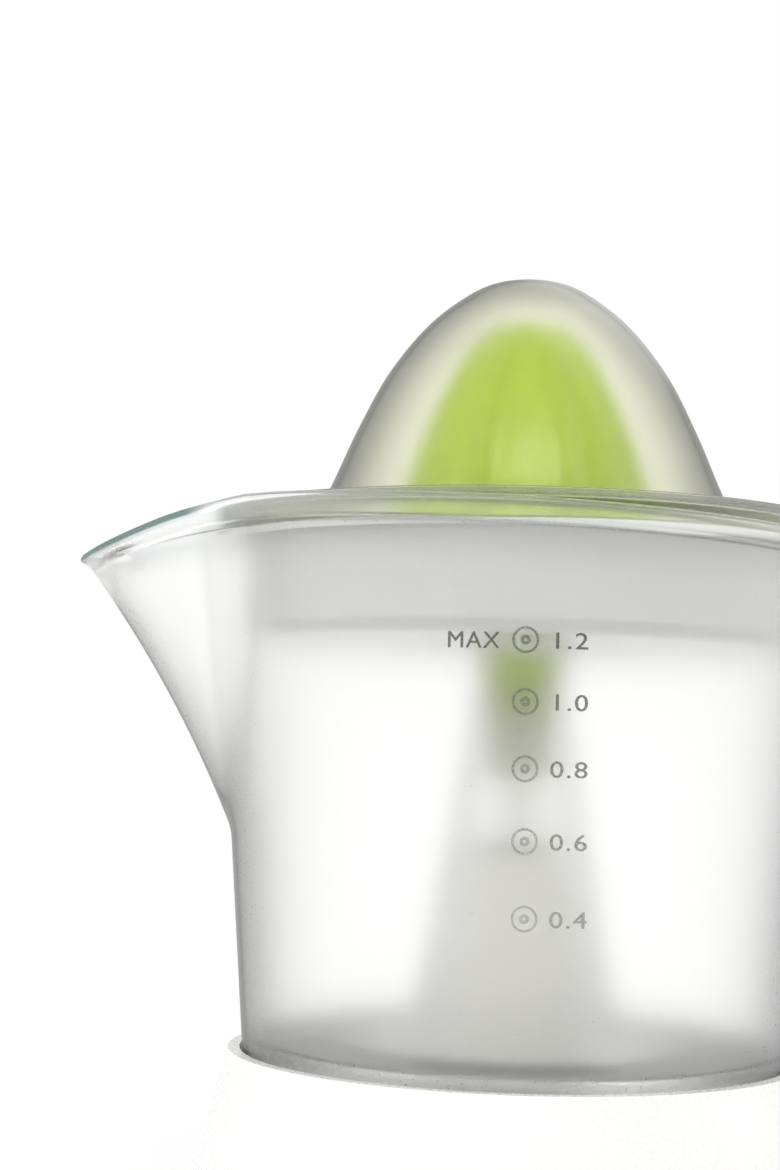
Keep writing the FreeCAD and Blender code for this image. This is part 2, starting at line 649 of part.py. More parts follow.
def make_cover():
    under = COVER_BRIM_TOP - COVER_BRIM
    skirt = MOUTH_RADIUS - LOOSE
    outer, foot, top = cover_outline(0)
    body = revolve([outer, line((0, top), (0, under)), line((0, under), (foot[0], under)),
                    line((foot[0], under), foot)])
    plate = disc(COVER_BRIM_RADIUS, under, COVER_BRIM_TOP)
    plate = plate.fuse(ring(skirt, skirt - COVER_WALL, FLANGE_TOP, under + 0.5))
    inner, foot, top = cover_outline(COVER_WALL)
    hollow = revolve([inner, line((0, top), (0, under - 1)), line((0, under - 1), (foot[0], under - 1)),
                      line((foot[0], under - 1), foot)])
    return body.fuse(plate).cut(hollow)


# --- drive ------------------------------------------------------------------------------------
def make_shaft():
    hexagonal = hexagon(SHAFT_FLATS, CUP_FLOOR, HUB_TOP + PRESS_TRAVEL + 1)
    return hexagonal.fuse(disc(SHAFT_RADIUS, HUB_TOP + PRESS_TRAVEL + 1, DOG_COLLAR_LOW + 14))


def make_dog():
    collar_top = HUB_LOW - LOOSE
    tip = SOCKET_TOP - 4
    point = hexagon(DOG_FLATS, collar_top, tip)
    chamfer = revolve([(0, collar_top), (DOG_FLATS, collar_top), (DOG_FLATS, tip - DOG_FLATS / 2 - 1.5),
                       (3.0, tip), (0, tip)])
    skirt = revolve([(0, DOG_COLLAR_LOW), (DOG_COLLAR_RADIUS - 1, DOG_COLLAR_LOW),
                     (DOG_COLLAR_RADIUS, DOG_COLLAR_LOW + 1), (DOG_COLLAR_RADIUS, collar_top - 1),
                     (DOG_COLLAR_RADIUS - 1, collar_top), (0, collar_top)])
    return skirt.fuse(point.common(chamfer)).cut(disc(SHAFT_RADIUS, DOG_COLLAR_LOW - 1, DOG_COLLAR_LOW + 14))


def make_output_gear():
    gap = math.radians(IDLER_ANGLE)
    wheel = gear(WHEEL_TEETH, SLOW_MODULE, SLOW_BOTTOM, SLOW_BOTTOM + SLOW_FACE, gap, False, 2)
    top = SLOW_BOTTOM + SLOW_FACE
    web = ring(SLOW_MODULE * WHEEL_TEETH / 2 - 4, OUTPUT_HUB + 2, top - 2, top + 1)
    hub = disc(OUTPUT_HUB, GEAR_BOTTOM + 3, HUB_TOP)
    return wheel.cut(web).fuse(hub).cut(hexagon(SHAFT_FLATS + 2 * RUN, 0, BASE_HEIGHT))


def make_idler_gear():
    fast = gear(WHEEL_TEETH, FAST_MODULE, GEAR_BOTTOM, GEAR_BOTTOM + GEAR_FACE, IDLER_TO_ROTOR, False, 2)
    toward_output = math.radians(IDLER_ANGLE) + math.pi
    slow = gear(PINION_TEETH, SLOW_MODULE, GEAR_BOTTOM + GEAR_FACE, SLOW_BOTTOM + SLOW_FACE + 0.5,
                toward_output, True, 3)
    solid = fast.fuse(slow).cut(disc(AXLE_RADIUS + RUN, 0, BASE_HEIGHT))
    solid.translate(Vector(IDLER[0], IDLER[1], 0))
    return solid


def make_rotor_pinion():
    low = GEAR_BOTTOM - 0.5
    high = GEAR_BOTTOM + GEAR_FACE + 0.5
    teeth = gear(PINION_TEETH, FAST_MODULE, low, high, IDLER_TO_ROTOR + math.pi, True, 3)
    solid = teeth.cut(disc(ROTOR_SHAFT, 0, BASE_HEIGHT))
    solid.translate(Vector(ROTOR[0], ROTOR[1], 0))
    return solid


# --- base -------------------------------------------------------------------------------------
def base_side(inset, low, high):
    """Bowed side of the base between two heights."""
    steps = (low, (low + high) / 2, high)
    return spline_edge([(base_radius(z) - inset, z) for z in steps])


def make_housing():
    low = FOOT_HEIGHT
    deck = BASE_HEIGHT
    lip_inner = JUG_FOOT_RADIUS + 3 * LOOSE
    lip_top = deck + LIP_HEIGHT
    outer = revolve([base_side(0.0, low, deck), line((DECK_RADIUS, deck), (DECK_RADIUS - 0.6, lip_top)),
                     line((DECK_RADIUS - 0.6, lip_top), (0, lip_top)), line((0, lip_top), (0, low)),
                     line((0, low), (BASE_RADIUS, low))])
    inner = revolve([base_side(BASE_WALL, low, DECK_UNDER),
                     line((base_radius(DECK_UNDER) - BASE_WALL, DECK_UNDER), (0, DECK_UNDER)),
                     line((0, DECK_UNDER), (0, low)), line((0, low), (BASE_RADIUS - BASE_WALL, low))])
    shell = outer.cut(inner).cut(disc(lip_inner, deck, lip_top + 1))
    tower = revolve([(0, DECK_UNDER), (TOWER_RADIUS_LOW + 1, DECK_UNDER), (TOWER_RADIUS_LOW, deck + 1),
                     (TOWER_RADIUS_TOP, TOWER_TOP - 1), (TOWER_RADIUS_TOP - 1, TOWER_TOP), (0, TOWER_TOP)])
    neck = TOWER_TOP - BUSH_LENGTH
    hollow = revolve([(0, DECK_UNDER - 1), (TOWER_RADIUS_LOW - BASE_WALL, DECK_UNDER - 1),
                      (TOWER_RADIUS_LOW - BASE_WALL, deck), (BUSH_RADIUS, neck - 2),
                      (BUSH_RADIUS, TOWER_TOP + 1), (0, TOWER_TOP + 1)])
    shell = shell.fuse(tower).cut(hollow)
    for angle in BOSS_ANGLES:
        x, y = polar(BOSS_CIRCLE, angle)
        shell = shell.fuse(disc(BOSS_RADIUS, PLATE_TOP, DECK_UNDER, x, y))
        shell = shell.cut(disc(SCREW_RADIUS, 0, PLATE_TOP + 14, x, y))
    for x, y in POSTS:
        shell = shell.fuse(disc(POST_RADIUS, PLATE_LEVEL + PLATE_GAUGE, DECK_UNDER, x, y))
        shell = shell.cut(disc(SCREW_RADIUS, 0, PLATE_LEVEL + PLATE_GAUGE + 12, x, y))
    shell = shell.fuse(ring(AXLE_RADIUS + 3, AXLE_RADIUS, SLOW_BOTTOM + SLOW_FACE + 1, DECK_UNDER, *IDLER))
    start = Vector(0, BASE_RADIUS / 2, GLAND_Z)
    hole = Part.makeCylinder(GLAND_RADIUS, BASE_RADIUS, start, Vector(0, 1, 0))
    return shell.cut(hole)


def make_base_plate():
    low = FOOT_HEIGHT
    high = PLATE_TOP
    plate = disc(BASE_RADIUS - BASE_WALL - LOOSE, low, high)
    for angle in BOSS_ANGLES:
        x, y = polar(BOSS_CIRCLE, angle)
        plate = plate.cut(disc(SCREW_RADIUS, low - 1, high + 1, x, y))
        plate = plate.cut(disc(SCREW_HEAD + LOOSE, low - 1, low + SCREW_HEAD_HEIGHT, x, y))
    for angle in FOOT_ANGLES:
        plate = plate.cut(disc(FOOT_STEM, low - 1, high + 1, *polar(FOOT_CIRCLE, angle)))
    vents = []
    for side in (-1, 1):
        for i in range(VENT_COUNT):
            x = (i - (VENT_COUNT - 1) / 2.0) * VENT_PITCH
            y = side * VENT_Y
            vents.append(block((x - VENT_WIDTH / 2, y - VENT_LENGTH / 2, low - 1),
                               (x + VENT_WIDTH / 2, y + VENT_LENGTH / 2, high + 1)))
    plate = plate.cut(Part.makeCompound(vents))
    guide_top = CUP_FLOOR - ARM_THICK - PRESS_TRAVEL - 0.5
    plate = plate.fuse(ring(CUP_RADIUS + SLIP + GUIDE_WALL, CUP_RADIUS + SLIP, high - 1, guide_top))
    depth = SWITCH_SIZE[1]
    plate = plate.fuse(block((-SWITCH_SIZE[0] / 2, ARM_REACH - depth / 2, high - 1),
                             (SWITCH_SIZE[0] / 2, ARM_REACH + depth / 2, switch_low())))
    bore = bearing_radius()
    seat = ring(bore + 2, bore, high, high + 4, *ROTOR)
    return plate.fuse(seat)


def switch_low():
    return CUP_FLOOR - ARM_THICK - PRESS_TRAVEL - 2 - SWITCH_SIZE[2]


def make_gearbox_plate():
    low = PLATE_LEVEL
    high = PLATE_LEVEL + PLATE_GAUGE
    plate = disc(PLATE_RADIUS, low, high)
    for x, y in POSTS:
        plate = plate.fuse(disc(POST_RADIUS + 1, low, high, x, y))
    for x, y in core_screws():
        plate = plate.fuse(disc(POST_RADIUS - 1, CORE_LOW + CORE_STACK, low, x, y))
        plate = plate.cut(disc(SCREW_RADIUS, CORE_LOW, high - 1, x, y))
    boss = ring(OUTPUT_HUB, SHAFT_RADIUS + 1, high, GEAR_BOTTOM + 3 - SEAT)
    plate = plate.fuse(boss).cut(disc(SHAFT_RADIUS + 1, low - 1, GEAR_BOTTOM + 3))
    for x, y in POSTS:
        plate = plate.cut(disc(SCREW_RADIUS, low - 1, high + 1, x, y))
    for angle in BOSS_ANGLES:
        plate = plate.cut(disc(BOSS_RADIUS + LOOSE, low - 1, high + 1, *polar(BOSS_CIRCLE, angle)))
    plate = plate.fuse(disc(AXLE_RADIUS + 3, high - 0.5, GEAR_BOTTOM - SEAT, *IDLER))
    plate = plate.cut(disc(AXLE_RADIUS, low - 1, high + 5, *IDLER))
    return plate.cut(disc(bearing_radius(), low - 1, high + 1, *ROTOR))


def make_feet():
    feet = []
    for angle in FOOT_ANGLES:
        x, y = polar(FOOT_CIRCLE, angle)
        pad = disc(FOOT_RADIUS, 0, FOOT_HEIGHT, x, y)
        pad = pad.makeChamfer(0.6, [edge for edge in pad.Edges if edge.BoundBox.ZMax < 0.01])
        feet.append(pad.fuse(disc(FOOT_STEM, FOOT_HEIGHT, PLATE_TOP + 0.5, x, y)).removeSplitter())
    return Part.makeCompound(feet)


def make_gland():
    wall = base_radius(GLAND_Z)
    flange = wall - BASE_WALL - GLAND_STANDOFF
    profile = [(GLAND_BORE, flange - 1.3), (GLAND_FLANGE, flange - 1.3), (GLAND_FLANGE, flange),
               (GLAND_RADIUS, flange), (GLAND_RADIUS, wall + 0.5), (GLAND_BORE + 0.6, wall + 0.5),
               (GLAND_BORE, wall - 0.4)]
    gland = revolve(profile)
    gland.rotate(Vector(0, 0, 0), Vector(1, 0, 0), -90)
    gland.translate(Vector(0, 0, GLAND_Z))
    return gland


# --- motor ------------------------------------------------------------------------------------
def core_screws():
    x, y = ROTOR
    edge = CORE_POLE - 3
    return ((x - edge, y - edge), (x - edge, y + edge), (x + CORE_LENGTH - CORE_POLE - CORE_YOKE / 2, y))


def legs():
    """Y of the two legs' middles."""
    return [ROTOR[1] + side * (CORE_POLE - CORE_LEG / 2) for side in (-1, 1)]


def make_core():
    x, y = ROTOR
    low = CORE_LOW
    high = CORE_LOW + CORE_STACK
    end = x + CORE_LENGTH - CORE_POLE
    core = block((x - CORE_POLE, y - CORE_POLE, low), (x + CORE_POLE, y + CORE_POLE, high))
    for middle in legs():
        core = core.fuse(block((x, middle - CORE_LEG / 2, low), (end, middle + CORE_LEG / 2, high)))
    core = core.fuse(block((end - CORE_YOKE, y - CORE_POLE, low), (end, y + CORE_POLE, high)))
    core = core.cut(disc(ROTOR_RADIUS + AIR_GAP, low - 1, high + 1, x, y))
    slit = 1.0
    core = core.cut(block((x + 2, y - slit, low - 1), (x + CORE_POLE + 1, y + slit, high + 1)))
    core = core.cut(block((x - CORE_POLE - 1, y - slit, low - 1), (x - 2, y + slit, low + CORE_STACK / 2)))
    for sx, sy in core_screws():
        core = core.cut(disc(SCREW_RADIUS, low - 1, high + 1, sx, sy))
    return core


def coil(middle, outer, inner, start, end):
    """Square sleeve round one leg of the core."""
    low = CORE_LOW - outer
    high = CORE_LOW + CORE_STACK + outer
    half = CORE_LEG / 2
    hull = block((start, middle - half - outer, low), (end, middle + half + outer, high))
    gap = block((start - 1, middle - half - inner, CORE_LOW - inner),
                (end + 1, middle + half + inner, CORE_LOW + CORE_STACK + inner))
    return hull.cut(gap)


def coil_span():
    start = ROTOR[0] + CORE_POLE + 0.5
    return start, start + BOBBIN_LENGTH


def make_bobbins():
    start, end = coil_span()
    deep = BOBBIN_WALL + COIL_DEPTH + 0.3
    bobbins = []
    for middle in legs():
        bobbin = coil(middle, BOBBIN_WALL, 0.1, start, end)
        bobbin = bobbin.fuse(coil(middle, deep, 0.1, start, start + BOBBIN_WALL))
        bobbins.append(bobbin.fuse(coil(middle, deep, 0.1, end - BOBBIN_WALL, end)).removeSplitter())
    return Part.makeCompound(bobbins)


def make_windings():
    start, end = coil_span()
    windings = []
    for middle in legs():
        body = coil(middle, BOBBIN_WALL + COIL_DEPTH, BOBBIN_WALL, start + BOBBIN_WALL, end - BOBBIN_WALL)
        outside = CORE_LEG / 2 + COIL_DEPTH
        long_edges = [edge for edge in body.Edges
                      if edge.BoundBox.XLength > 1 and abs(edge.BoundBox.YMin - middle) > outside]
        windings.append(body.makeFillet(2.0, long_edges))
    return Part.makeCompound(windings)


def bearing_radius():
    return ROTOR_SHAFT + RUN + BEARING_WALL


def make_bearings():
    lower = ring(bearing_radius(), ROTOR_SHAFT + RUN, PLATE_TOP + 0.5, PLATE_TOP + 4, *ROTOR)
    upper = ring(bearing_radius(), ROTOR_SHAFT + RUN, PLATE_LEVEL - 1, PLATE_LEVEL + PLATE_GAUGE, *ROTOR)
    return Part.makeCompound([lower, upper])


# --- switch and spring ------------------------------------------------------------------------
def make_cup():
    low = CUP_FLOOR - 10.0
    body = disc(CUP_RADIUS, low, CUP_FLOOR + 1.5)
    arm = block((-ARM_WIDTH / 2, 0, CUP_FLOOR - ARM_THICK),
                (ARM_WIDTH / 2, ARM_REACH + PLUNGER_RADIUS + 1, CUP_FLOOR))
    pocket = disc(SHAFT_RADIUS + LOOSE, CUP_FLOOR - SEAT, CUP_FLOOR + 3)
    return body.fuse(arm).cut(pocket)


def make_spring():
    low = PLATE_TOP + SPRING_WIRE / 2
    high = CUP_FLOOR - 10.0 - SPRING_WIRE / 2
    radius = SPRING_RADIUS
    helix = Part.makeHelix((high - low) / SPRING_TURNS, high - low, radius)
    helix.translate(Vector(0, 0, low))
    section = Part.Wire(Part.makeCircle(SPRING_WIRE / 2, Vector(radius, 0, low), Vector(0, 1, 0)))
    return Part.Wire(helix.Edges).makePipeShell([section], True, True)


def make_switch_body():
    wide, deep, tall = SWITCH_SIZE
    low = switch_low()
    body = block((-wide / 2, ARM_REACH - deep / 2, low), (wide / 2, ARM_REACH + deep / 2, low + tall))
    body = body.makeChamfer(0.8, [edge for edge in body.Edges if edge.BoundBox.ZLength > 1])
    return body.cut(disc(PLUNGER_RADIUS + RUN, low + tall - PRESS_TRAVEL - 8, low + tall + 1, 0, ARM_REACH))


def make_plunger():
    top = CUP_FLOOR - ARM_THICK - SEAT
    return disc(PLUNGER_RADIUS, switch_low() + SWITCH_SIZE[2] - 6, top, 0, ARM_REACH)


def main():
    os.makedirs("parts", exist_ok=True)
    save("dust_cover", make_cover())
    save("press_cone", make_cone())
    save("cone_bush", make_cone_bush())
    save("strainer_basket", make_strainer())
    save("jug", make_jug())
    save("drive_dog", make_dog())
    save("drive_shaft", make_shaft())
    bore = SHAFT_RADIUS + RUN
    save("shaft_bush", ring(BUSH_RADIUS, bore, TOWER_TOP - BUSH_LENGTH, TOWER_TOP))
    save("shaft_seal", ring(SHAFT_RADIUS + SEAL_WALL, bore, TOWER_TOP, TOWER_TOP + SEAL_THICK))
    save("base_housing", make_housing())
    save("base_plate", make_base_plate())
    save("rubber_feet", make_feet())
    save("base_screws", screws([polar(BOSS_CIRCLE, angle) for angle in BOSS_ANGLES], FOOT_HEIGHT, 14))
    save("gearbox_plate", make_gearbox_plate())
    save("gearbox_screws", screws(POSTS, PLATE_LEVEL - SCREW_HEAD_HEIGHT, 14))
    save("output_gear", make_output_gear())
    save("idler_gear", make_idler_gear())
    save("idler_axle", disc(AXLE_RADIUS, PLATE_LEVEL, DECK_UNDER, *IDLER))
    save("rotor_pinion", make_rotor_pinion())
    save("rotor_shaft", disc(ROTOR_SHAFT, PLATE_TOP + 1, GEAR_BOTTOM + GEAR_FACE + 0.5, *ROTOR))
    save("rotor_magnet", ring(ROTOR_RADIUS, ROTOR_SHAFT, CORE_LOW - 1, CORE_LOW + CORE_STACK + 1, *ROTOR))
    save("rotor_bearings", make_bearings())
    save("stator_core", make_core())
    save("coil_bobbins", make_bobbins())
    save("coil_windings", make_windings())
    save("motor_screws", screws(core_screws(), CORE_LOW - SCREW_HEAD_HEIGHT, 20))
    save("thrust_cup", make_cup())
    save("return_spring", make_spring())
    save("switch_body", make_switch_body())
    save("switch_plunger", make_plunger())
    save("cord_gland", make_gland())


main()
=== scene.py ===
"""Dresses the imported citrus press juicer: smooth moulded shells, finishes, studio and camera.

Lengths are in millimetres in the frame of the solids (Z = 0 is the table, the drive axis is
X = Y = 0, the spout points to -X), and become metres when a mesh is made.
"""

from __future__ import annotations

import json
import logging
import math
from dataclasses import dataclass
from enum import Enum
from typing import Any, Mapping, Sequence, Union

import bpy
import numpy as np
from mathutils import Matrix, Vector

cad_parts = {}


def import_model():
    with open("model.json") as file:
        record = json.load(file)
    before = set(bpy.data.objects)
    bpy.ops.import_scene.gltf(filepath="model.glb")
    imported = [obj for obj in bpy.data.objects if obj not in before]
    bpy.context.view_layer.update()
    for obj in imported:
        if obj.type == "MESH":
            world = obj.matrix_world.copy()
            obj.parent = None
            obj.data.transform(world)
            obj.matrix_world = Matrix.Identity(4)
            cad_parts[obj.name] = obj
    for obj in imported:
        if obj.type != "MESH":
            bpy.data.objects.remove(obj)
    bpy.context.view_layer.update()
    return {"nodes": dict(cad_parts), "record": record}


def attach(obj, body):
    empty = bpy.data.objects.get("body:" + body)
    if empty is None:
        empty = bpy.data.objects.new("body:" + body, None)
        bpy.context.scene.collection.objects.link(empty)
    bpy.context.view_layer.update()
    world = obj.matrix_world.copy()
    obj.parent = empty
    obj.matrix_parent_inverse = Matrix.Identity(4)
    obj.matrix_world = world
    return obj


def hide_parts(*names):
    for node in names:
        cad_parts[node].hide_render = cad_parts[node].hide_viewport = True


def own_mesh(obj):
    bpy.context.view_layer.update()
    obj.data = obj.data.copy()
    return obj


LOG = logging.getLogger("citrus_press")
MM = 0.001
Colour = tuple[float, float, float]
Number = Union[float, "Value"]
Knots = tuple[tuple[float, float], ...]
Shell = tuple[np.ndarray, np.ndarray]
BLACK: Colour = (0.0, 0.0, 0.0)
WHITE: Colour = (1.0, 1.0, 1.0)


class Slot(Enum):
    """Material slots of the record that the finishes stand for."""

    JUG = "frosted_clear"
    COVER = "frosted_cover"
    LIME = "lime_plastic"
    WHITE = "white_plastic"
    STRAINER = "strainer_plastic"
    DARK = "dark_plastic"
    GEAR = "gear_plastic"
    GREY = "grey_plastic"
    RED = "red_plastic"
    RUBBER = "rubber"
    STEEL = "steel"
    LAMINATIONS = "laminations"
    MAGNET = "magnet"
    COPPER = "copper"
    BRASS = "brass"


# --- shader expressions -------------------------------------------------------------------------
class Value:
    """One shader number, so that node maths is written as Python expressions."""

    def __init__(self, graph: "Graph", socket: bpy.types.NodeSocket) -> None:
        """Keep the graph that the socket belongs to."""
        self.graph = graph
        self.socket = socket

    def __add__(self, other: Number) -> "Value":
        """Sum of two numbers."""
        return self.graph.maths("ADD", self, other)

    def __sub__(self, other: Number) -> "Value":
        """Difference of two numbers."""
        return self.graph.maths("SUBTRACT", self, other)

    def __rsub__(self, other: Number) -> "Value":
        """Difference with this number on the right."""
        return self.graph.maths("SUBTRACT", other, self)

    def __mul__(self, other: Number) -> "Value":
        """Product of two numbers."""
        return self.graph.maths("MULTIPLY", self, other)

    def __pow__(self, other: Number) -> "Value":
        """This number raised to a power."""
        return self.graph.maths("POWER", self, other)

    __radd__ = __add__
    __rmul__ = __mul__


class Graph:
    """A node tree that is written through one method."""

    def __init__(self, tree: bpy.types.NodeTree) -> None:
        """Empty the tree, so that the finish writes all of it."""
        self.tree = tree
        tree.nodes.clear()

    def node(
        self,
        kind: str,
        settings: Mapping[str, Any] | None = None,
        inputs: Mapping[Union[str, int], Any] | None = None,
    ) -> bpy.types.Node:
        """Add a node, set its settings first and then its sockets.

        Args:
            kind: type name without its ShaderNode start.
            settings: attributes of the node, such as a Math node's operation.
            inputs: numbers, colours, sockets or Values by socket name or index.

        Returns:
            The new node.
        """
        made = self.tree.nodes.new("ShaderNode" + kind)
        for name, setting in (settings or {}).items():
            setattr(made, name, setting)
        for name, value in (inputs or {}).items():
            target = made.inputs[name]
            if isinstance(value, Value):
                self.tree.links.new(value.socket, target)
            elif isinstance(value, bpy.types.NodeSocket):
                self.tree.links.new(value, target)
            elif target.type == "RGBA":
                target.default_value = (*value, 1.0)
            else:
                target.default_value = value
        return made

    def maths(self, operation: str, *values: Number, clamp: bool = False) -> Value:
        """One Math node on numbers or Values."""
        made = self.node("Math", {"operation": operation, "use_clamp": clamp}, dict(enumerate(values)))
        return Value(self, made.outputs[0])

    def blend(self, share: Number, first: Any, second: Any) -> bpy.types.NodeSocket:
        """Colour mixed from first to second by share."""
        made = self.node("Mix", {"data_type": "RGBA"}, {0: share, 6: first, 7: second})
        return made.outputs[2]

    def place(self, scale: tuple[float, float, float] = (1.0, 1.0, 1.0)) -> bpy.types.NodeSocket:
        """Object coordinates, stretched by scale."""
        where = self.node("TexCoord").outputs["Object"]
        return self.node("Mapping", {}, {"Vector": where, "Scale": scale}).outputs[0]

    def noise(self, where: bpy.types.NodeSocket, scale: float, detail: float = 2.0) -> Value:
        """Noise between 0 and 1 with scale cells to the metre."""
        made = self.node("TexNoise", {}, {"Vector": where, "Scale": scale, "Detail": detail})
        return Value(self, made.outputs[0])

    def bump(self, height: Value, strength: float, distance: float) -> bpy.types.NodeSocket:
        """Normal bent by a height."""
        inputs = {"Strength": strength, "Distance": distance, "Height": height}
        return self.node("Bump", {}, inputs).outputs[0]

    def attribute(self, name: str) -> Value:
        """A number painted on the mesh's points."""
        return Value(self, self.node("Attribute", {"attribute_name": name}).outputs["Fac"])

    def facing(self) -> Value:
        """Share from 0, seen straight on, to 1, along the surface."""
        return Value(self, self.node("LayerWeight", {}, {"Blend": 0.5}).outputs["Facing"])

    def uneven(self, pattern: Value, middle: float, spread: float) -> Value:
        """Number round a middle that a pattern between 0 and 1 moves by the spread."""
        return pattern * spread + (middle - spread / 2)

    def axes(self, where: bpy.types.NodeSocket | None = None) -> tuple[Value, Value, Value]:
        """X, Y and Z of a vector.

        Args:
            where: the vector, or None for the object coordinates in metres.

        Returns:
            The three numbers.
        """
        apart = self.node("SeparateXYZ", {}, {0: self.place() if where is None else where})
        x, y, z = (Value(self, socket) for socket in apart.outputs)
        return x, y, z

    def height_share(self, start: float, end: float) -> Value:
        """Share of the way up from one height to another, in metres, held between 0 and 1."""
        height = self.axes()[2]
        return self.maths("MULTIPLY", height - start, 1.0 / (end - start), clamp=True)

    def finish(self, inputs: Mapping[Union[str, int], Any]) -> None:
        """End the tree with a Principled shader."""
        shader = self.node("BsdfPrincipled", {}, inputs)
        self.node("OutputMaterial", {}, {"Surface": shader.outputs[0]})


def new_graph(name: str) -> tuple[bpy.types.Material, Graph]:
    """Make an empty node material.

    Args:
        name: the material's name.

    Returns:
        The material and the graph that writes it.
    """
    material = bpy.data.materials.new(name)
    material.use_nodes = True
    return material, Graph(material.node_tree)


# --- finishes -----------------------------------------------------------------------------------
@dataclass(frozen=True)
class FrostedFinish:
    """Satin clear plastic whose wall blurs what stands behind it.

    Shares painted on the mesh's points say where it is polished ("polish"), where the wall is
    seen on its cut edge ("deep"), where painted shade darkens the beak's nose and its creases
    ("thick"), and which pieces of it stand inside or at the thin lip ("inner") and let part of
    the light straight through.
    """

    name: str
    face: Colour
    # tint of the painted shade where the wall is seen at a grazing angle
    edge: Colour
    polished: Colour
    roughness: float
    polished_roughness: float = 0.26
    ior: float = 1.32
    edge_power: float = 4.5
    edge_gain: float = 2.4
    polished_edge: float = 0.5
    deep: Colour = (0.12, 0.21, 0.19)
    # colour of the painted shade at the beak's nose and in its creases
    thick: Colour = (0.30, 0.31, 0.27)
    inner: Colour = (0.78, 0.78, 0.74)
    inner_clear: float = 0.5
    # painted glow, by emission: on the frosted face, the clear band and the inner pieces
    face_glow: Colour = (0.016, 0.016, 0.015)
    band_glow: Colour = (0.055, 0.055, 0.055)
    inner_glow: Colour = (0.03, 0.03, 0.028)
    grain: float = 1500.0
    grain_depth: float = 0.00006
    grain_tint: float = 0.035
    grain_gloss: float = 0.1
    cloud: float = 60.0
    cloud_tint: float = 0.015

    def material(self) -> bpy.types.Material:
        """Build the finish: painted shade, a darker tint where the wall is seen along its surface, fine
        grain, and the painted shares.

        The share of the edge's tint is a power of the facing share times a gain. A weak painted
        glow, by emission, stands in for the light that a frosted wall scatters.

        Returns:
            The material.
        """
        made, graph = new_graph(self.name)
        polish = graph.attribute("polish")
        inner = graph.attribute("inner")
        grain = graph.noise(graph.place(), self.grain, 3.0)
        cloud = graph.noise(graph.place(), self.cloud)
        # painted shade: the colour darkens towards the edge's tint where the wall is seen at a grazing
        # angle
        share = graph.maths("MULTIPLY", graph.facing() ** self.edge_power, self.edge_gain, clamp=True)
        uneven = (grain - 0.5) * self.grain_tint + (cloud - 0.5) * self.cloud_tint
        frosted = graph.blend(uneven, graph.blend(share, self.face, self.edge), self.edge)
        clear = graph.blend(share * self.polished_edge, self.polished, self.edge)
        colour = graph.blend(polish, frosted, clear)
        colour = graph.blend(inner, colour, self.inner)
        # painted shade at the beak's nose and in the creases beside it
        colour = graph.blend(graph.attribute("thick"), colour, self.thick)
        colour = graph.blend(graph.attribute("deep"), colour, self.deep)
        satin = graph.uneven(grain, self.roughness, self.grain_gloss)
        # painted glow: emission on the frosted face, off at the grazing edge, stronger on the clear band
        # and on the inner pieces
        glow = graph.blend(polish, graph.blend(share, self.face_glow, BLACK), self.band_glow)
        graph.finish({
            "Base Color": colour,
            "Roughness": (1.0 - polish) * satin + polish * self.polished_roughness,
            "Normal": graph.bump(grain * (1.0 - polish), 0.25, self.grain_depth),
            "Alpha": 1.0 - inner * self.inner_clear,
            "Emission Color": graph.blend(inner, glow, self.inner_glow),
            "Emission Strength": 1.0, "Transmission Weight": 1.0, "IOR": self.ior,
        })
        return made


@dataclass(frozen=True)
class MouldedFinish:
    """Opaque moulded plastic or rubber with a fine grain.

    Its tone runs from shade to colour in a soft cloud, or up the Z axis over tone_rise. A painted
    glow of its own colour, by emission, stands in for light that a frosted shell round the piece
    holds in, and comes in over its rise. A rise runs from one height to another, in metres.
    """

    name: str
    colour: Colour
    shade: Colour
    roughness: float = 0.35
    grain: float = 900.0
    grain_depth: float = 0.00004
    grain_gloss: float = 0.12
    cloud: float = 45.0
    tone_rise: tuple[float, float] | None = None
    glow: float = 0.0
    glow_depth: float = 0.004
    # strength of the painted glow, by emission
    painted_glow: float = 0.0
    painted_glow_rise: tuple[float, float] | None = None

    def material(self) -> bpy.types.Material:
        """Build the finish: two tones, grain in gloss and relief, the subsurface glow and the painted
        glow.

        Returns:
            The material.
        """
        made, graph = new_graph(self.name)
        grain = graph.noise(graph.place(), self.grain)
        if self.tone_rise:
            tone = graph.height_share(*self.tone_rise)
        else:
            tone = graph.noise(graph.place(), self.cloud, 3.0)
        colour = graph.blend(tone, self.shade, self.colour)
        inputs = {
            "Base Color": colour, "Roughness": graph.uneven(grain, self.roughness, self.grain_gloss),
            "Normal": graph.bump(grain, 0.2, self.grain_depth),
            "Subsurface Weight": self.glow, "Subsurface Scale": self.glow_depth,
        }
        # painted glow: emission of the piece's own colour, over its rise if one is given
        if self.painted_glow:
            share = graph.height_share(*self.painted_glow_rise) if self.painted_glow_rise else 1.0
            inputs["Emission Color"] = graph.blend(share, BLACK, colour)
            inputs["Emission Strength"] = self.painted_glow
        graph.finish(inputs)
        return made


@dataclass(frozen=True)
class MarkFinish:
    """Moulded lines of the scale: dark and half clear high up, paler and clearer low down."""

    name: str
    high: Colour
    low: Colour
    start: float
    end: float
    cover_low: float = 0.5
    cover_high: float = 0.72
    roughness: float = 0.5
    grain: float = 1500.0
    grain_cover: float = 0.12

    def material(self) -> bpy.types.Material:
        """Build the finish: tone and cover follow the height, with a fine grain.

        Returns:
            The material.
        """
        made, graph = new_graph(self.name)
        grain = graph.noise(graph.place(), self.grain)
        share = graph.height_share(self.start, self.end)
        cover = share * (self.cover_high - self.cover_low) + self.cover_low
        graph.finish({
            "Base Color": graph.blend(share, self.low, self.high), "Roughness": self.roughness,
            "Alpha": cover + (grain - 0.5) * self.grain_cover,
        })
        return made


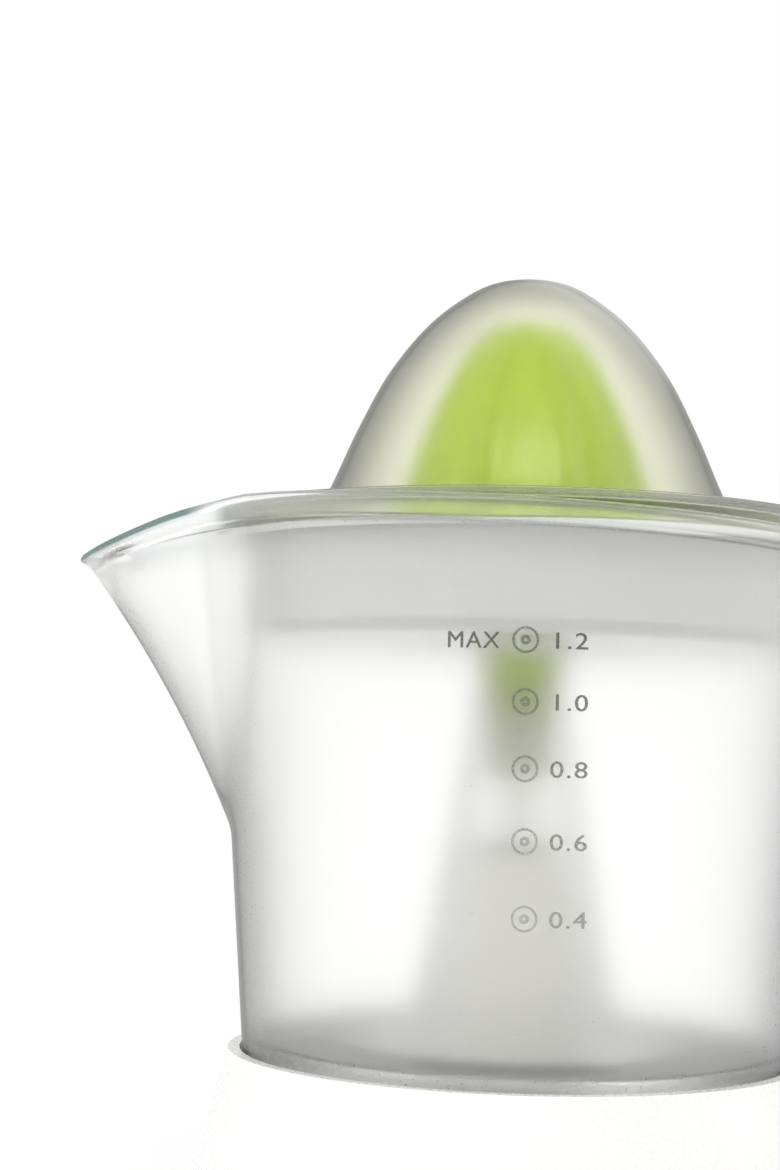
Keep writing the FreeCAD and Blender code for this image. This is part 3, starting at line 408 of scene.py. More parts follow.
@dataclass(frozen=True)
class TurnedMetal:
    """Metal with fine lines round the Z axis, as a lathe leaves them."""

    name: str
    colour: Colour
    shade: Colour
    roughness: float = 0.3
    lines: float = 4000.0
    line_depth: float = 0.00003
    line_gloss: float = 0.2
    line_share: float = 0.4
    cloud: float = 120.0

    def material(self) -> bpy.types.Material:
        """Build the finish: lines in tone, gloss and relief.

        Returns:
            The material.
        """
        made, graph = new_graph(self.name)
        lines = graph.noise(graph.place((0.04, 0.04, 1.0)), self.lines)
        cloud = graph.noise(graph.place(), self.cloud)
        tone = cloud * (1.0 - self.line_share) + lines * self.line_share
        graph.finish({
            "Base Color": graph.blend(tone, self.shade, self.colour), "Metallic": 1.0,
            "Roughness": graph.uneven(lines, self.roughness, self.line_gloss),
            "Normal": graph.bump(lines, 0.15, self.line_depth),
        })
        return made


@dataclass(frozen=True)
class LayeredMetal:
    """Metal in even layers up the Z axis: stacked sheets or wound wire."""

    name: str
    colour: Colour
    gap: Colour
    pitch: float
    roughness: float = 0.35
    gap_gloss: float = 0.3
    relief: float = 0.3

    def material(self) -> bpy.types.Material:
        """Build the finish: a sine wave up Z gives the layers' tone and relief.

        Returns:
            The material.
        """
        made, graph = new_graph(self.name)
        pitch = self.pitch * MM
        wave = graph.maths("SINE", graph.axes()[2] * (2.0 * math.pi / pitch)) * 0.5 + 0.5
        graph.finish({
            "Base Color": graph.blend(wave ** 0.5, self.gap, self.colour), "Metallic": 0.9,
            "Roughness": (1.0 - wave) * self.gap_gloss + self.roughness,
            "Normal": graph.bump(wave, 0.5, pitch * self.relief),
        })
        return made


FINISHES: dict[Slot, Any] = {
    Slot.JUG: FrostedFinish(
        "frosted_jug", (1.0, 1.0, 0.995), (0.03, 0.045, 0.03), (0.97, 0.98, 0.96), 0.29),
    Slot.COVER: FrostedFinish(
        "frosted_cover", (0.985, 0.985, 0.885), (0.08, 0.09, 0.06), (0.96, 0.97, 0.94), 0.31,
        edge_power=3.5, edge_gain=2.6, face_glow=BLACK),
    # the cone gets a painted glow below 164 to 172 mm
    Slot.LIME: MouldedFinish(
        "lime_cone", (0.47, 0.63, 0.005), (0.42, 0.57, 0.004), 0.18, glow=0.15, painted_glow=0.08,
        painted_glow_rise=(0.172, 0.164)),
    # the housing gets a painted glow above 64 to 80 mm
    Slot.WHITE: MouldedFinish(
        "white_housing", (0.86, 0.86, 0.84), (0.82, 0.82, 0.80), 0.28, grain_depth=0.00001,
        painted_glow=0.1, painted_glow_rise=(0.064, 0.08)),
    Slot.STRAINER: MouldedFinish("white_strainer", (0.74, 0.74, 0.71), (0.70, 0.70, 0.67), 0.22),
    Slot.DARK: MouldedFinish("dark_plastic", (0.085, 0.085, 0.08), (0.06, 0.06, 0.058), 0.4),
    Slot.GEAR: MouldedFinish("gear_nylon", (0.78, 0.76, 0.68), (0.70, 0.68, 0.60), 0.35),
    Slot.GREY: MouldedFinish("grey_plastic", (0.32, 0.33, 0.34), (0.26, 0.27, 0.28), 0.4),
    Slot.RED: MouldedFinish("red_plunger", (0.55, 0.04, 0.03), (0.45, 0.03, 0.02), 0.35),
    Slot.RUBBER: MouldedFinish("grey_rubber", (0.11, 0.11, 0.11), (0.08, 0.08, 0.08), 0.75, 1500.0),
    Slot.STEEL: TurnedMetal("turned_steel", (0.62, 0.62, 0.63), (0.48, 0.48, 0.50), 0.28),
    Slot.LAMINATIONS: LayeredMetal("stacked_sheets", (0.42, 0.43, 0.45), (0.12, 0.12, 0.13), 0.5),
    Slot.MAGNET: MouldedFinish("ferrite_magnet", (0.10, 0.10, 0.11), (0.07, 0.07, 0.08), 0.5),
    Slot.COPPER: LayeredMetal("copper_winding", (0.78, 0.32, 0.14), (0.25, 0.08, 0.03), 0.45),
    Slot.BRASS: TurnedMetal("brass_bearing", (0.78, 0.58, 0.26), (0.62, 0.44, 0.18), 0.3),
}

MARK_FINISH = MarkFinish("moulded_marks", (0.10, 0.12, 0.08), (0.28, 0.29, 0.26), 0.097, 0.155)
# the drive pieces get a painted glow of their own colour, by emission
NODE_FINISHES: dict[str, MouldedFinish] = {
    "drive_dog": MouldedFinish(
        "drive_plastic", (0.25, 0.30, 0.06), (0.42, 0.42, 0.38), 0.35, tone_rise=(0.134, 0.148), painted_glow=0.3),
    "drive_shaft": MouldedFinish(
        "spindle_steel", (0.60, 0.61, 0.58), (0.64, 0.64, 0.64), 0.3, tone_rise=(0.11, 0.13), painted_glow=0.5),
    "shaft_seal": MouldedFinish(
        "seal_rubber", (0.28, 0.28, 0.27), (0.30, 0.30, 0.29), 0.7, tone_rise=(0.11, 0.12), painted_glow=0.6),
}


# --- meshes -------------------------------------------------------------------------------------
def to_object(
    name: str, *shells: Shell, paints: Mapping[str, np.ndarray] | None = None,
) -> bpy.types.Object:
    """Turn shells into one smooth mesh object.

    Args:
        name: the object's name.
        shells: pairs of points, N x 3 in millimetres, and faces, M x 4 point numbers whose
            last repeats the third in a triangle.
        paints: shares from 0 to 1 on the points of the first shell, by name.

    Returns:
        The object, linked to the scene, at the origin.
    """
    joined = np.concatenate([points for points, _ in shells]) * MM
    if not np.isfinite(joined).all():
        raise ValueError(f"{name} has a point that is not a number")
    before = np.cumsum([0, *(len(points) for points, _ in shells)])
    quads = np.concatenate([faces + start for (_, faces), start in zip(shells, before)])
    triangle = quads[:, 2] == quads[:, 3]
    lengths = np.where(triangle, 3, 4)
    starts = np.cumsum(lengths) - lengths
    keep = np.ones_like(quads, dtype=bool)
    keep[:, 3] = ~triangle
    mesh = bpy.data.meshes.new(name)
    mesh.vertices.add(len(joined))
    mesh.vertices.foreach_set("co", joined.astype(np.float32).ravel())
    mesh.loops.add(int(lengths.sum()))
    mesh.loops.foreach_set("vertex_index", quads[keep].astype(np.int32))
    mesh.polygons.add(len(quads))
    mesh.polygons.foreach_set("loop_start", starts.astype(np.int32))
    mesh.polygons.foreach_set("use_smooth", np.ones(len(quads), dtype=bool))
    mesh.update(calc_edges=True)
    mesh.validate()
    for label, share in (paints or {}).items():
        amount = np.zeros(len(joined), dtype=np.float32)
        amount[:share.size] = share.ravel()
        mesh.attributes.new(label, "FLOAT", "POINT").data.foreach_set("value", amount)
    made = bpy.data.objects.new(name, mesh)
    bpy.context.scene.collection.objects.link(made)
    return made


def wrapped_faces(rows: int, columns: int, closed_rows: bool) -> np.ndarray:
    """Faces of a grid whose columns close round, and whose rows may close too.

    Args:
        rows: rows of points, along the profile.
        columns: points in a row, round the axis.
        closed_rows: whether the last row joins the first.

    Returns:
        M x 4 point numbers: each cell's corners, down the row and then along it.
    """
    row = np.arange(rows if closed_rows else rows - 1)[:, None]
    column = np.arange(columns)[None, :]
    below = (row + 1) % rows
    beside = (column + 1) % columns
    cell = [row * columns + column, below * columns + column,
            below * columns + beside, row * columns + beside]
    return np.stack(np.broadcast_arrays(*cell), axis=-1).reshape(-1, 4)


def capped(grid: np.ndarray, poles: np.ndarray) -> Shell:
    """Shell of a grid whose first and last rows are closed by triangles to a pole.

    Args:
        grid: rows x columns x 3 array of points.
        poles: 2 x 3 array, the first row's pole and the last row's.

    Returns:
        Points and faces.
    """
    rows, columns = grid.shape[:2]
    count = rows * columns
    here = np.arange(columns)
    beside = np.roll(here, -1)
    tip = np.full(columns, count)
    last = count - columns
    faces = [
        wrapped_faces(rows, columns, False), np.stack([tip, here, beside, beside], axis=-1),
        np.stack([here + last, tip + 1, beside + last, beside + last], axis=-1)]
    return np.concatenate([grid.reshape(-1, 3), poles]), np.concatenate(faces)


def ramp(value: np.ndarray | float, start: np.ndarray | float, width: float) -> np.ndarray:
    """Share from 0 at start to 1 a width further on; a width below 0 runs the other way."""
    return np.clip((value - start) / width, 0.0, 1.0)


def smooth_line(knots: Sequence[tuple[float, float]], count: int) -> np.ndarray:
    """Points along a smooth curve through knots.

    The curve is a cubic in the length along the knots' chords, with the slope at each knot
    worked out from its neighbours (Catmull and Rom's rule).

    Args:
        knots: (radius, height) pairs.
        count: number of points.

    Returns:
        count x 2 array.
    """
    given = np.array(knots, dtype=float)
    step = np.hypot(*np.diff(given, axis=0).T)
    length = np.concatenate([[0.0], np.cumsum(step)])
    slope = np.gradient(given, length, axis=0, edge_order=2)
    at = np.linspace(0.0, length[-1], count)
    cell = np.clip(np.searchsorted(length, at, side="right") - 1, 0, len(step) - 1)
    share = ((at - length[cell]) / step[cell])[:, None]
    wide = step[cell][:, None]
    start, end = given[cell], given[cell + 1]
    out = (2 * share ** 3 - 3 * share ** 2 + 1) * start
    out += (share ** 3 - 2 * share ** 2 + share) * wide * slope[cell]
    out += (3 * share ** 2 - 2 * share ** 3) * end
    out += (share ** 3 - share ** 2) * wide * slope[cell + 1]
    return out


def rounded_line(corners: Sequence[tuple[float, float]], radius: float, steps: int) -> np.ndarray:
    """Line through corners with each corner rounded.

    Each corner becomes a short quadratic curve whose ends stand the radius, or at most
    0.45 of a side, from the corner.

    Args:
        corners: (radius, height) pairs.
        radius: distance from a corner at which the rounding starts.
        steps: points in a rounding, less one.

    Returns:
        N x 2 array.
    """
    given = np.array(corners, dtype=float)
    before = np.roll(given, 1, axis=0)
    after = np.roll(given, -1, axis=0)
    to_before = before - given
    to_after = after - given
    long_before = np.hypot(*to_before.T)[:, None]
    long_after = np.hypot(*to_after.T)[:, None]
    start = given + to_before / long_before * np.minimum(radius, long_before * 0.45)
    end = given + to_after / long_after * np.minimum(radius, long_after * 0.45)
    share = np.linspace(0.0, 1.0, steps + 1)[None, :, None]
    curve = (1 - share) ** 2 * start[:, None] + 2 * share * (1 - share) * given[:, None]
    curve = curve + share ** 2 * end[:, None]
    curve[0] = given[0]
    curve[-1] = given[-1]
    return curve.reshape(-1, 2)[steps:-steps]


def refined(line: np.ndarray, step: float) -> np.ndarray:
    """The same line with points added.

    Args:
        line: N x 2 array.
        step: how far apart its points may stand.

    Returns:
        M x 2 array.
    """
    length = np.concatenate([[0.0], np.cumsum(np.hypot(*np.diff(line, axis=0).T))])
    at = np.unique(np.concatenate([length, np.arange(0.0, length[-1], step)]).round(4))
    return np.stack([np.interp(at, length, line[:, 0]), np.interp(at, length, line[:, 1])], axis=-1)


def around(columns: int) -> np.ndarray:
    """Angles of evenly spaced columns round the axis."""
    return np.linspace(0.0, 2 * math.pi, columns, endpoint=False)


def turned(profile: np.ndarray, columns: int) -> np.ndarray:
    """Carry each point of a profile round the Z axis.

    Args:
        profile: rows of (radius, height).
        columns: points in a row.

    Returns:
        Rows x columns x 3 array.
    """
    angle = around(columns)
    radius, height = profile[:, :1], profile[:, 1:]
    grid = [radius * np.cos(angle), radius * np.sin(angle), height + 0 * angle]
    return np.stack(grid, axis=-1)


def right_of(line: np.ndarray) -> np.ndarray:
    """Unit direction to the right-hand side of a line: its gradient, turned by a quarter.

    Args:
        line: N x 2 array.

    Returns:
        N x 2 array, the direction at each point.
    """
    along = np.gradient(line, axis=0)
    along = along / np.hypot(*along.T)[:, None]
    return np.stack([along[:, 1], -along[:, 0]], axis=-1)


def bell(knots: Knots, wall: float, crown: float, low: float) -> tuple[np.ndarray, np.ndarray]:
    """Outer and inner line of a turned bell.

    The outer line is level at the pole, because its knots are mirrored across the axis.

    Args:
        knots: (radius, height) pairs of the outer line, the first on the axis.
        wall: thickness of the wall.
        crown: thickness on the axis.
        low: height above which the inner line is kept.

    Returns:
        Both lines, from the pole down.
    """
    mirrored = [(-radius, height) for radius, height in knots[2:0:-1]]
    whole = smooth_line([*mirrored, *knots], 110)
    outer = np.concatenate([[knots[0]], whole[whole[:, 0] > 0.3]])
    inner = outer + right_of(outer) * wall
    inner[0] = (0.0, knots[0][1] - crown)
    return outer, inner[inner[:, 1] > low]


def on_axis(*heights: float) -> np.ndarray:
    """Points on the Z axis at the given heights."""
    return np.array([(0.0, 0.0, height) for height in heights])


def show(
    made: bpy.types.Object, material: bpy.types.Material, body: str, slot: Slot, *nodes: str,
) -> None:
    """Dress a piece, let it ride on a body, and hide the solids it stands for.

    Args:
        made: the piece.
        material: its finish.
        body: the body that carries it.
        slot: the record's material slot; it is not used.
        nodes: the solids, if it stands for any.
    """
    made.data.materials.clear()
    made.data.materials.append(material)
    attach(made, body)
    if nodes:
        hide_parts(*nodes)
    LOG.info("%s: %d points, rides on %s", made.name, len(made.data.vertices), body)


# --- jug ----------------------------------------------------------------------------------------
@dataclass
class Jug:
    """Frosted measuring jug: round wall, beak spout, slanted clear rim, column and handle.

    Lengths are in millimetres and angles in degrees. A zone is a ramp's start and width.
    """

    material: bpy.types.Material
    mark_material: bpy.types.Material
    foot_z: float = 60.0
    foot_radius: float = 64.2
    taper: float = 0.085
    wall: float = 2.0
    floor_lift: float = 2.4
    floor: float = 2.2
    rim_z: float = 187.0
    rim_slope: float = 0.0419
    rim_radius: float = 78.3
    rim_wall: float = 1.5
    band: float = 4.9
    band_radius: float = 75.4
    mouth_radius: float = 73.63
    ledge_z: float = 181.5
    ledge_radius: float = 72.53
    column: Knots = ((26.3, 62.4), (11.5, 150.0), (11.0, 153.0), (11.0, 163.0))
    column_wall: float = 1.8
    spout_low: float = 112.0
    spout_lead: float = 22.7
    spout_arc: float = 278.0
    reach: float = 108.3
    spout_width: float = 24.0
    root_width: float = 3.0
    nose: float = 0.2
    blend: float = 10.0
    fillet_reach: float = 0.36
    fillet_fade: float = 0.32
    flare: float = 0.5
    lip_band: float = 3.5
    droop: float = 13.6
    droop_start: float = -62.0
    droop_power: float = 1.35
    columns: int = 384
    crowding: float = 0.55
    beak_zone: tuple[float, float] = (80.0, 5.0)
    beak_band_zone: tuple[float, float] = (3.2, 0.4)
    satin_lip_zone: tuple[float, float] = (96.0, 6.0)
    clear_lip_zone: tuple[float, float] = (97.0, 5.0)
    step_share: float = 0.4
    # strength and width of the painted shade at the beak's nose and in the creases beside it
    nose_shade: float = 0.42
    nose_shade_width: float = 4.0
    crease_shade: float = 0.16
    crease_shade_widths: tuple[float, float] = (6.0, 1.8)
    handle_top: float = 171.5
    handle_low: float = 94.5
    handle_out: float = 103.5
    handle_lean: float = 12.0
    handle_wide: float = 9.5
    handle_thick: float = 4.5
    handle_bend: float = 16.0
    handle_root: float = 0.9
    handle_square: float = 0.55
    marks: tuple[tuple[str, float], ...] = (
        ("1.2", 157.3), ("1.0", 144.4), ("0.8", 130.4), ("0.6", 115.2), ("0.4", 99.0))
    rings: Knots = ((2.84, 2.28), (1.08, 0.34))
    ring_proud: float = 0.22
    mark_root: float = -0.2
    mark_drift: float = 0.017
    ring_across: float = 0.75
    number_across: float = 5.85
    word_across: float = -16.0
    letter: float = 3.4
    letter_share: float = 0.69
    letter_depth: float = 0.2
    letter_bevel: float = 0.04
    letter_offset: float = -0.03
    letter_spacing: float = 1.1
    number_width: float = 1.27
    word_width: float = 1.02

    def radius(self, z: np.ndarray | float) -> np.ndarray | float:
        """Outside radius of the round wall: it grows evenly with height."""
        return self.foot_radius + self.taper * (z - self.foot_z)

    def nose_reach(self, z: np.ndarray) -> np.ndarray:
        """Distance from the axis to the beak's edge.

        The edge is an arc that leans outward as it climbs: the cosine of its lead, less the
        cosine of its lean at that height, times the arc's radius. It flares at the tip.

        Args:
            z: height of each point.

        Returns:
            Distance at each point.
        """
        lead = math.radians(self.spout_lead)
        rise = np.clip(z - self.spout_low, 0.0, None)
        lean = np.clip(math.sin(lead) + rise / self.spout_arc, None, 0.95)
        out = self.spout_arc * (math.cos(lead) - np.sqrt(1.0 - lean ** 2))
        below = np.clip(self.spout_low - z, 0.0, None)
        near_tip = np.clip(z - self.rim_z - self.lip_drop(-self.reach) + self.lip_band, 0.0, None)
        flare = self.flare * near_tip ** 2 / self.lip_band
        return np.minimum(self.radius(self.spout_low) + out + flare, self.reach) - below * 0.6

    def swell(
        self, angle: np.ndarray, z: np.ndarray, wall: np.ndarray, inset: np.ndarray,
    ) -> np.ndarray:
        """Radius of the wall with its beak.

        The beak is a wedge: from its edge at the nose's reach, two flat flanks run back to
        the wall, and the angle round the nose is softened by a small constant. The wall and
        the wedge are joined by a smooth maximum, half the sum plus half the root of the
        squared difference and the squared blend, which gives the concave fillet.

        Args:
            angle: angle round the axis, 0 at +X.
            z: height of each point.
            wall: radius of the round wall there.
            inset: how far the surface lies inside the outside one.

        Returns:
            Radius at each point.
        """
        share = ramp(z, self.spout_low, self.rim_z - self.spout_low)
        half = self.root_width + (self.spout_width - self.root_width) * share - inset * 0.6
        size = self.blend * np.clip(share * 1.8 + 0.08, 0.0, 1.0)
        round_wall = wall + 0.0 * z
        proud = np.clip(self.nose_reach(z) - inset * 1.25 - round_wall, 0.3, None)
        tip = round_wall + proud - size ** 2 / (4.0 * np.maximum(proud, size / 2.0))
        back = np.sqrt(np.clip(round_wall ** 2 - half ** 2, 1.0, None))
        lean = half / np.clip(tip - back, 1.5, None)
        off = np.abs(np.angle(-np.exp(1j * angle)))
        soft = np.sqrt(np.sin(off) ** 2 + self.nose ** 2 * share) - self.nose * np.sqrt(share)
        wedge = tip * lean / (soft + np.abs(np.cos(off)) * lean)
        gap = np.where(off < 1.2, wedge - round_wall, -60.0)
        rise = 0.5 * (gap + np.sqrt(gap ** 2 + size ** 2))
        root = np.arcsin(np.minimum(half / round_wall, 1.0))
        window = ramp(off, root + self.fillet_reach, -self.fillet_fade)
        return round_wall + rise * window * window * (3.0 - 2.0 * window)

    def lip_drop(self, x: np.ndarray) -> np.ndarray:
        """Height of the rim's line over its height on the axis: a slant, less the lip's droop."""
        past = np.clip((self.droop_start - x) / (self.reach + self.droop_start), 0.0, None)
        return -self.rim_slope * x - self.droop * past ** self.droop_power

    def stations(self) -> tuple[np.ndarray, np.ndarray, np.ndarray]:
        """Closed profile of the jug's wall, floor and column.

        Returns:
            Rows of (radius, height), how far each row follows the slanted rim (0 level,
            1 slanted), and each row's inset from the outside.
        """
        band_z = self.rim_z - self.band
        mouth = self.rim_radius - self.rim_wall
        top = refined(rounded_line([
            (mouth, self.rim_z - 1.0), (mouth, self.rim_z), (self.rim_radius, self.rim_z),
            (self.band_radius, band_z), (self.radius(band_z), band_z - 0.3),
            (self.radius(band_z - 0.6), band_z - 0.9)], 0.45, 4), 0.35)
        lean = (self.rim_radius - self.band_radius) / self.band
        wall = self.rim_radius - top[:, 0] - lean * (self.rim_z - top[:, 1])
        wall = np.where(top[:, 1] > self.rim_z - 1.1, np.clip(wall, 0.0, self.rim_wall), 0.0)
        foot, under = self.foot_z, self.foot_z + self.floor_lift
        out_z = np.linspace(band_z - 0.5, foot + 1.2, 44)[1:]
        outer = smooth_line(self.column, 24)
        inner = outer - np.array([self.column_wall, 0.0])
        low = rounded_line([
            (self.radius(foot + 1.2), foot + 1.2), (self.radius(foot), foot),
            (self.radius(foot) - self.wall, foot), (self.radius(under) - self.wall, under),
            (inner[0, 0] + 2.0, under)], 0.8, 3)
        head = rounded_line([
            tuple(inner[-2]), tuple(inner[-1]), tuple(outer[-1]), (outer[-1, 0], outer[-2, 1])], 0.5, 2)
        floor_z = under + self.floor
        at_floor, above = np.interp([floor_z, floor_z + 3.0], outer[:, 1], outer[:, 0])
        inside_foot = rounded_line([
            (above, floor_z + 3.0), (at_floor, floor_z), (45.0, floor_z),
            (self.radius(floor_z) - self.wall - 0.2, floor_z),
            (self.radius(floor_z + 6.0) - self.wall, floor_z + 6.0)], 2.6, 5)
        in_z = np.linspace(floor_z + 7.0, self.ledge_z - 1.0, 40)
        ledge = rounded_line([
            (self.ledge_radius - 0.05, self.ledge_z - 0.6), (self.ledge_radius, self.ledge_z),
            (self.mouth_radius, self.ledge_z), (self.mouth_radius, self.ledge_z + 1.6),
            (mouth - 0.5, self.rim_z - 2.0)], 0.25, 2)
        parts = [
            (top, 1.0, wall),
            (np.stack([self.radius(out_z), out_z], axis=-1), np.linspace(1.0, 0.0, len(out_z)), 0.0),
            (low[1:], 0.0, 0.0), (inner[1:-2], 0.0, 0.0), (head, 0.0, 0.0),
            (outer[-3:1:-1], 0.0, 0.0), (inside_foot, 0.0, self.wall),
            (np.stack([self.radius(in_z) - self.wall, in_z], axis=-1),
             np.linspace(0.0, 0.55, len(in_z)), self.wall),
            (ledge, np.linspace(0.56, 1.0, len(ledge)), self.wall)]
        rows = np.concatenate([line for line, _, _ in parts])
        slant = np.concatenate([np.broadcast_to(share, len(line)) for line, share, _ in parts])
        inset = np.concatenate([np.broadcast_to(depth, len(line)) for line, _, depth in parts])
        return rows, slant, inset

    def shell(self) -> tuple[Shell, dict[str, np.ndarray]]:
        """Wall, floor and column.

        Each profile point is carried round the axis. Its radius comes from the wall and the
        beak, and its height is its level one plus its share of the rim's slant and droop,
        found by five rounds of putting the radius and the height into each other.

        Returns:
            The shell, and the shares to paint on its points by name.
        """
        profile, slant, inset = self.stations()
        angle = self.round_angles()
        base, height = profile[:, :1], profile[:, 1:]
        is_wall = (base > 60.0) & (height > self.foot_z + 3.0)
        radius = base + 0 * angle
        z = height + 0 * angle
        for _ in range(5):
            z = height + slant[:, None] * self.lip_drop(radius * np.cos(angle))
            radius = np.where(is_wall, self.swell(angle, z, base, inset[:, None]), base)
        points = np.stack([radius * np.cos(angle), radius * np.sin(angle), z], axis=-1)
        faces = wrapped_faces(len(profile), angle.size, True)
        return (points.reshape(-1, 3), faces), self.shares(profile, points, is_wall)

    def shares(
        self, profile: np.ndarray, points: np.ndarray, is_wall: np.ndarray,
    ) -> dict[str, np.ndarray]:
        """Shares that the frosted finish reads.

        "polish" is the clear band under the rim, "deep" the rim's cut edge and the step under
        the band, "thick" the painted shade at the beak's nose and in the creases where it leaves
        the round wall, and "inner" the column and the thin lip.

        Args:
            profile: rows of (radius, height) before the slant.
            points: rows x columns x 3 array of the carried points.
            is_wall: whether each row belongs to the wall.

        Returns:
            Rows x columns arrays by name.
        """
        x, y, z = np.moveaxis(points, -1, 0)
        radius = np.hypot(x, y)
        below = self.rim_z - profile[:, 1:] + 0 * radius
        beak = ramp(radius, *self.beak_zone)
        polish = ramp(below, self.band + 0.1, -0.3) * (1.0 - beak * ramp(below, *self.beak_band_zone))
        polish = polish * (1.0 - ramp(radius, *self.satin_lip_zone))
        edge = ramp(below - 0.7 * beak, 0.85, -0.3) * (0.3 + 0.7 * beak)
        step = ramp(np.abs(below - self.band - 0.2), 0.5, -0.5) * (1.0 - beak)
        deep = np.where(is_wall, np.maximum(edge, self.step_share * step), 0.0)
        up = ramp(z, self.spout_low, self.rim_z - self.spout_low)
        # painted shade at the beak's nose and in the creases where it leaves the round wall, kept off the
        # clear band
        off = np.abs(np.arctan2(y, -x)) * radius
        nose = self.nose_shade * np.exp(-(off / self.nose_shade_width) ** 2) * np.clip(up * 6.0, 0.0, 1.0)
        past = x + self.radius(z) - 1.5
        ahead, behind = self.crease_shade_widths
        painted_crease = np.where(past > 0.0, np.exp(-np.abs(past) / ahead), np.exp(-(past / behind) ** 2))
        painted_crease = self.crease_shade * painted_crease * np.clip(up * 4.0, 0.0, 1.0)
        thick = np.where(is_wall, np.clip(nose + painted_crease, 0.0, 1.0) * (1.0 - polish), 0.0)
        column = (profile[:, :1] < 40.0) & (profile[:, 1:] > self.foot_z + self.floor_lift)
        inner = np.maximum(column, ramp(radius, *self.clear_lip_zone) * (below > 1.2))
        return {"polish": polish, "deep": deep, "inner": inner, "thick": thick}

    def round_angles(self) -> np.ndarray:
        """Angles round the axis, closer together at the spout."""
        even = around(self.columns)
        return even + self.crowding * np.sin(even)

    def handle(self) -> Shell:
        """Handle as a closed tube.

        The path runs out from the wall, down and back in, with its corners rounded. The
        section is a squared circle: each coordinate is the root of the circle's, with the
        sign kept, scaled to the half width and half thickness.

        Returns:
            Points and faces.
        """
        high, low = self.handle_top, self.handle_low
        path = rounded_line([
            (self.radius(high) - self.handle_root, high), (self.handle_out, high),
            (self.handle_out - self.handle_lean, low), (self.radius(low) - self.handle_root, low),
        ], self.handle_bend, 14)
        path = path[np.concatenate([[True], np.hypot(*np.diff(path, axis=0).T) > 1e-6])]
        across = right_of(path)
        turn = around(40)
        circle = np.stack([np.cos(turn), np.sin(turn)])
        side, thick = np.sign(circle) * np.abs(circle) ** self.handle_square
        x = path[:, :1] + across[:, :1] * thick * self.handle_thick
        z = path[:, 1:] + across[:, 1:] * thick * self.handle_thick
        grid = np.stack([x, side * self.handle_wide + 0 * x, z], axis=-1)
        points, faces = capped(grid, grid[[0, -1]].mean(axis=1))
        return points, faces[:, ::-1]

    def build(self) -> None:
        """Make the jug's shell and its marks."""
        shell, paints = self.shell()
        made = to_object("jug_shell", shell, self.handle(), paints=paints)
        show(made, self.material, "jug", Slot.JUG, "jug")
        self.build_marks()

    def ring_mark(self, z: float, outer: float, inner: float) -> Shell:
        """Flat raised ring: four circles, from the outer side's foot over the top to the inner's.

        Args:
            z: height of its middle.
            outer: outer radius.
            inner: inner radius.

        Returns:
            Points as (across, up, proud), and faces.
        """
        turn = around(48)
        radius = np.array([outer, outer - 0.06, inner + 0.06, inner])[:, None]
        proud = np.array([self.mark_root, self.ring_proud, self.ring_proud, self.mark_root])[:, None]
        grid = np.stack([radius * np.cos(turn), radius * np.sin(turn) + z, proud + 0 * turn], axis=-1)
        return grid.reshape(-1, 3), wrapped_faces(4, 48, False)

    def wrap(self, flat: np.ndarray, across: float) -> np.ndarray:
        """Lay a flat drawing on the wall's front.

        The angle is the distance across, divided by the wall's radius at that height.

        Args:
            flat: rows of (across, up, proud).
            across: how far the drawing is moved from X = 0, in millimetres.

        Returns:
            N x 3 array.
        """
        radius = self.radius(flat[:, 1])
        angle = -math.pi / 2 + (flat[:, 0] + across) / radius
        out = radius + flat[:, 2]
        return np.stack([out * np.cos(angle), out * np.sin(angle), flat[:, 1]], axis=-1)

    def text_mark(self, words: str, across: float, z: float, width: float) -> bpy.types.Object:
        """Raised words on the wall.

        Args:
            words: letters or digits.
            across: where their left edge stands, in millimetres round the wall.
            z: height of their middle.
            width: how much wider than drawn the letters are.

        Returns:
            A mesh object.
        """
        curve = bpy.data.curves.new("words", "FONT")
        curve.body = words
        curve.size = self.letter / self.letter_share
        curve.extrude = self.letter_depth
        curve.bevel_depth = self.letter_bevel
        curve.offset = self.letter_offset
        curve.space_character = self.letter_spacing
        curve.resolution_u = 4
        holder = bpy.data.objects.new("words", curve)
        bpy.context.scene.collection.objects.link(holder)
        bpy.context.view_layer.update()
        drawn = holder.evaluated_get(bpy.context.evaluated_depsgraph_get())
        mesh = bpy.data.meshes.new_from_object(drawn)
        bpy.data.objects.remove(holder)
        flat = np.empty(len(mesh.vertices) * 3)
        mesh.vertices.foreach_get("co", flat)
        flat = flat.reshape(-1, 3)
        flat[:, 0] *= width
        flat[:, 1] += z - self.letter / 2
        placed = self.wrap(flat, across) * MM
        mesh.vertices.foreach_set("co", placed.astype(np.float32).ravel())
        made = bpy.data.objects.new("words", mesh)
        bpy.context.scene.collection.objects.link(made)
        return made

    def build_marks(self) -> None:
        """Make the scale's rings, dots, numbers and the word beside the highest mark."""
        parts = []
        words = []
        highest = self.marks[0][1]
        for text, z in self.marks:
            drift = self.mark_drift * (highest - z)
            words.append(self.text_mark(text, self.number_across + drift, z, self.number_width))
            for outer, inner in self.rings:
                ring, faces = self.ring_mark(z, outer, inner)
                parts.append((self.wrap(ring, self.ring_across + drift), faces[:, ::-1]))
        show(to_object("scale_rings", *parts), self.mark_material, "jug", Slot.JUG)
        words.append(self.text_mark("MAX", self.word_across, highest - 0.2, self.word_width))
        for index, made in enumerate(words):
            made.name = f"scale_number_{index}"
            show(made, self.mark_material, "jug", Slot.JUG)


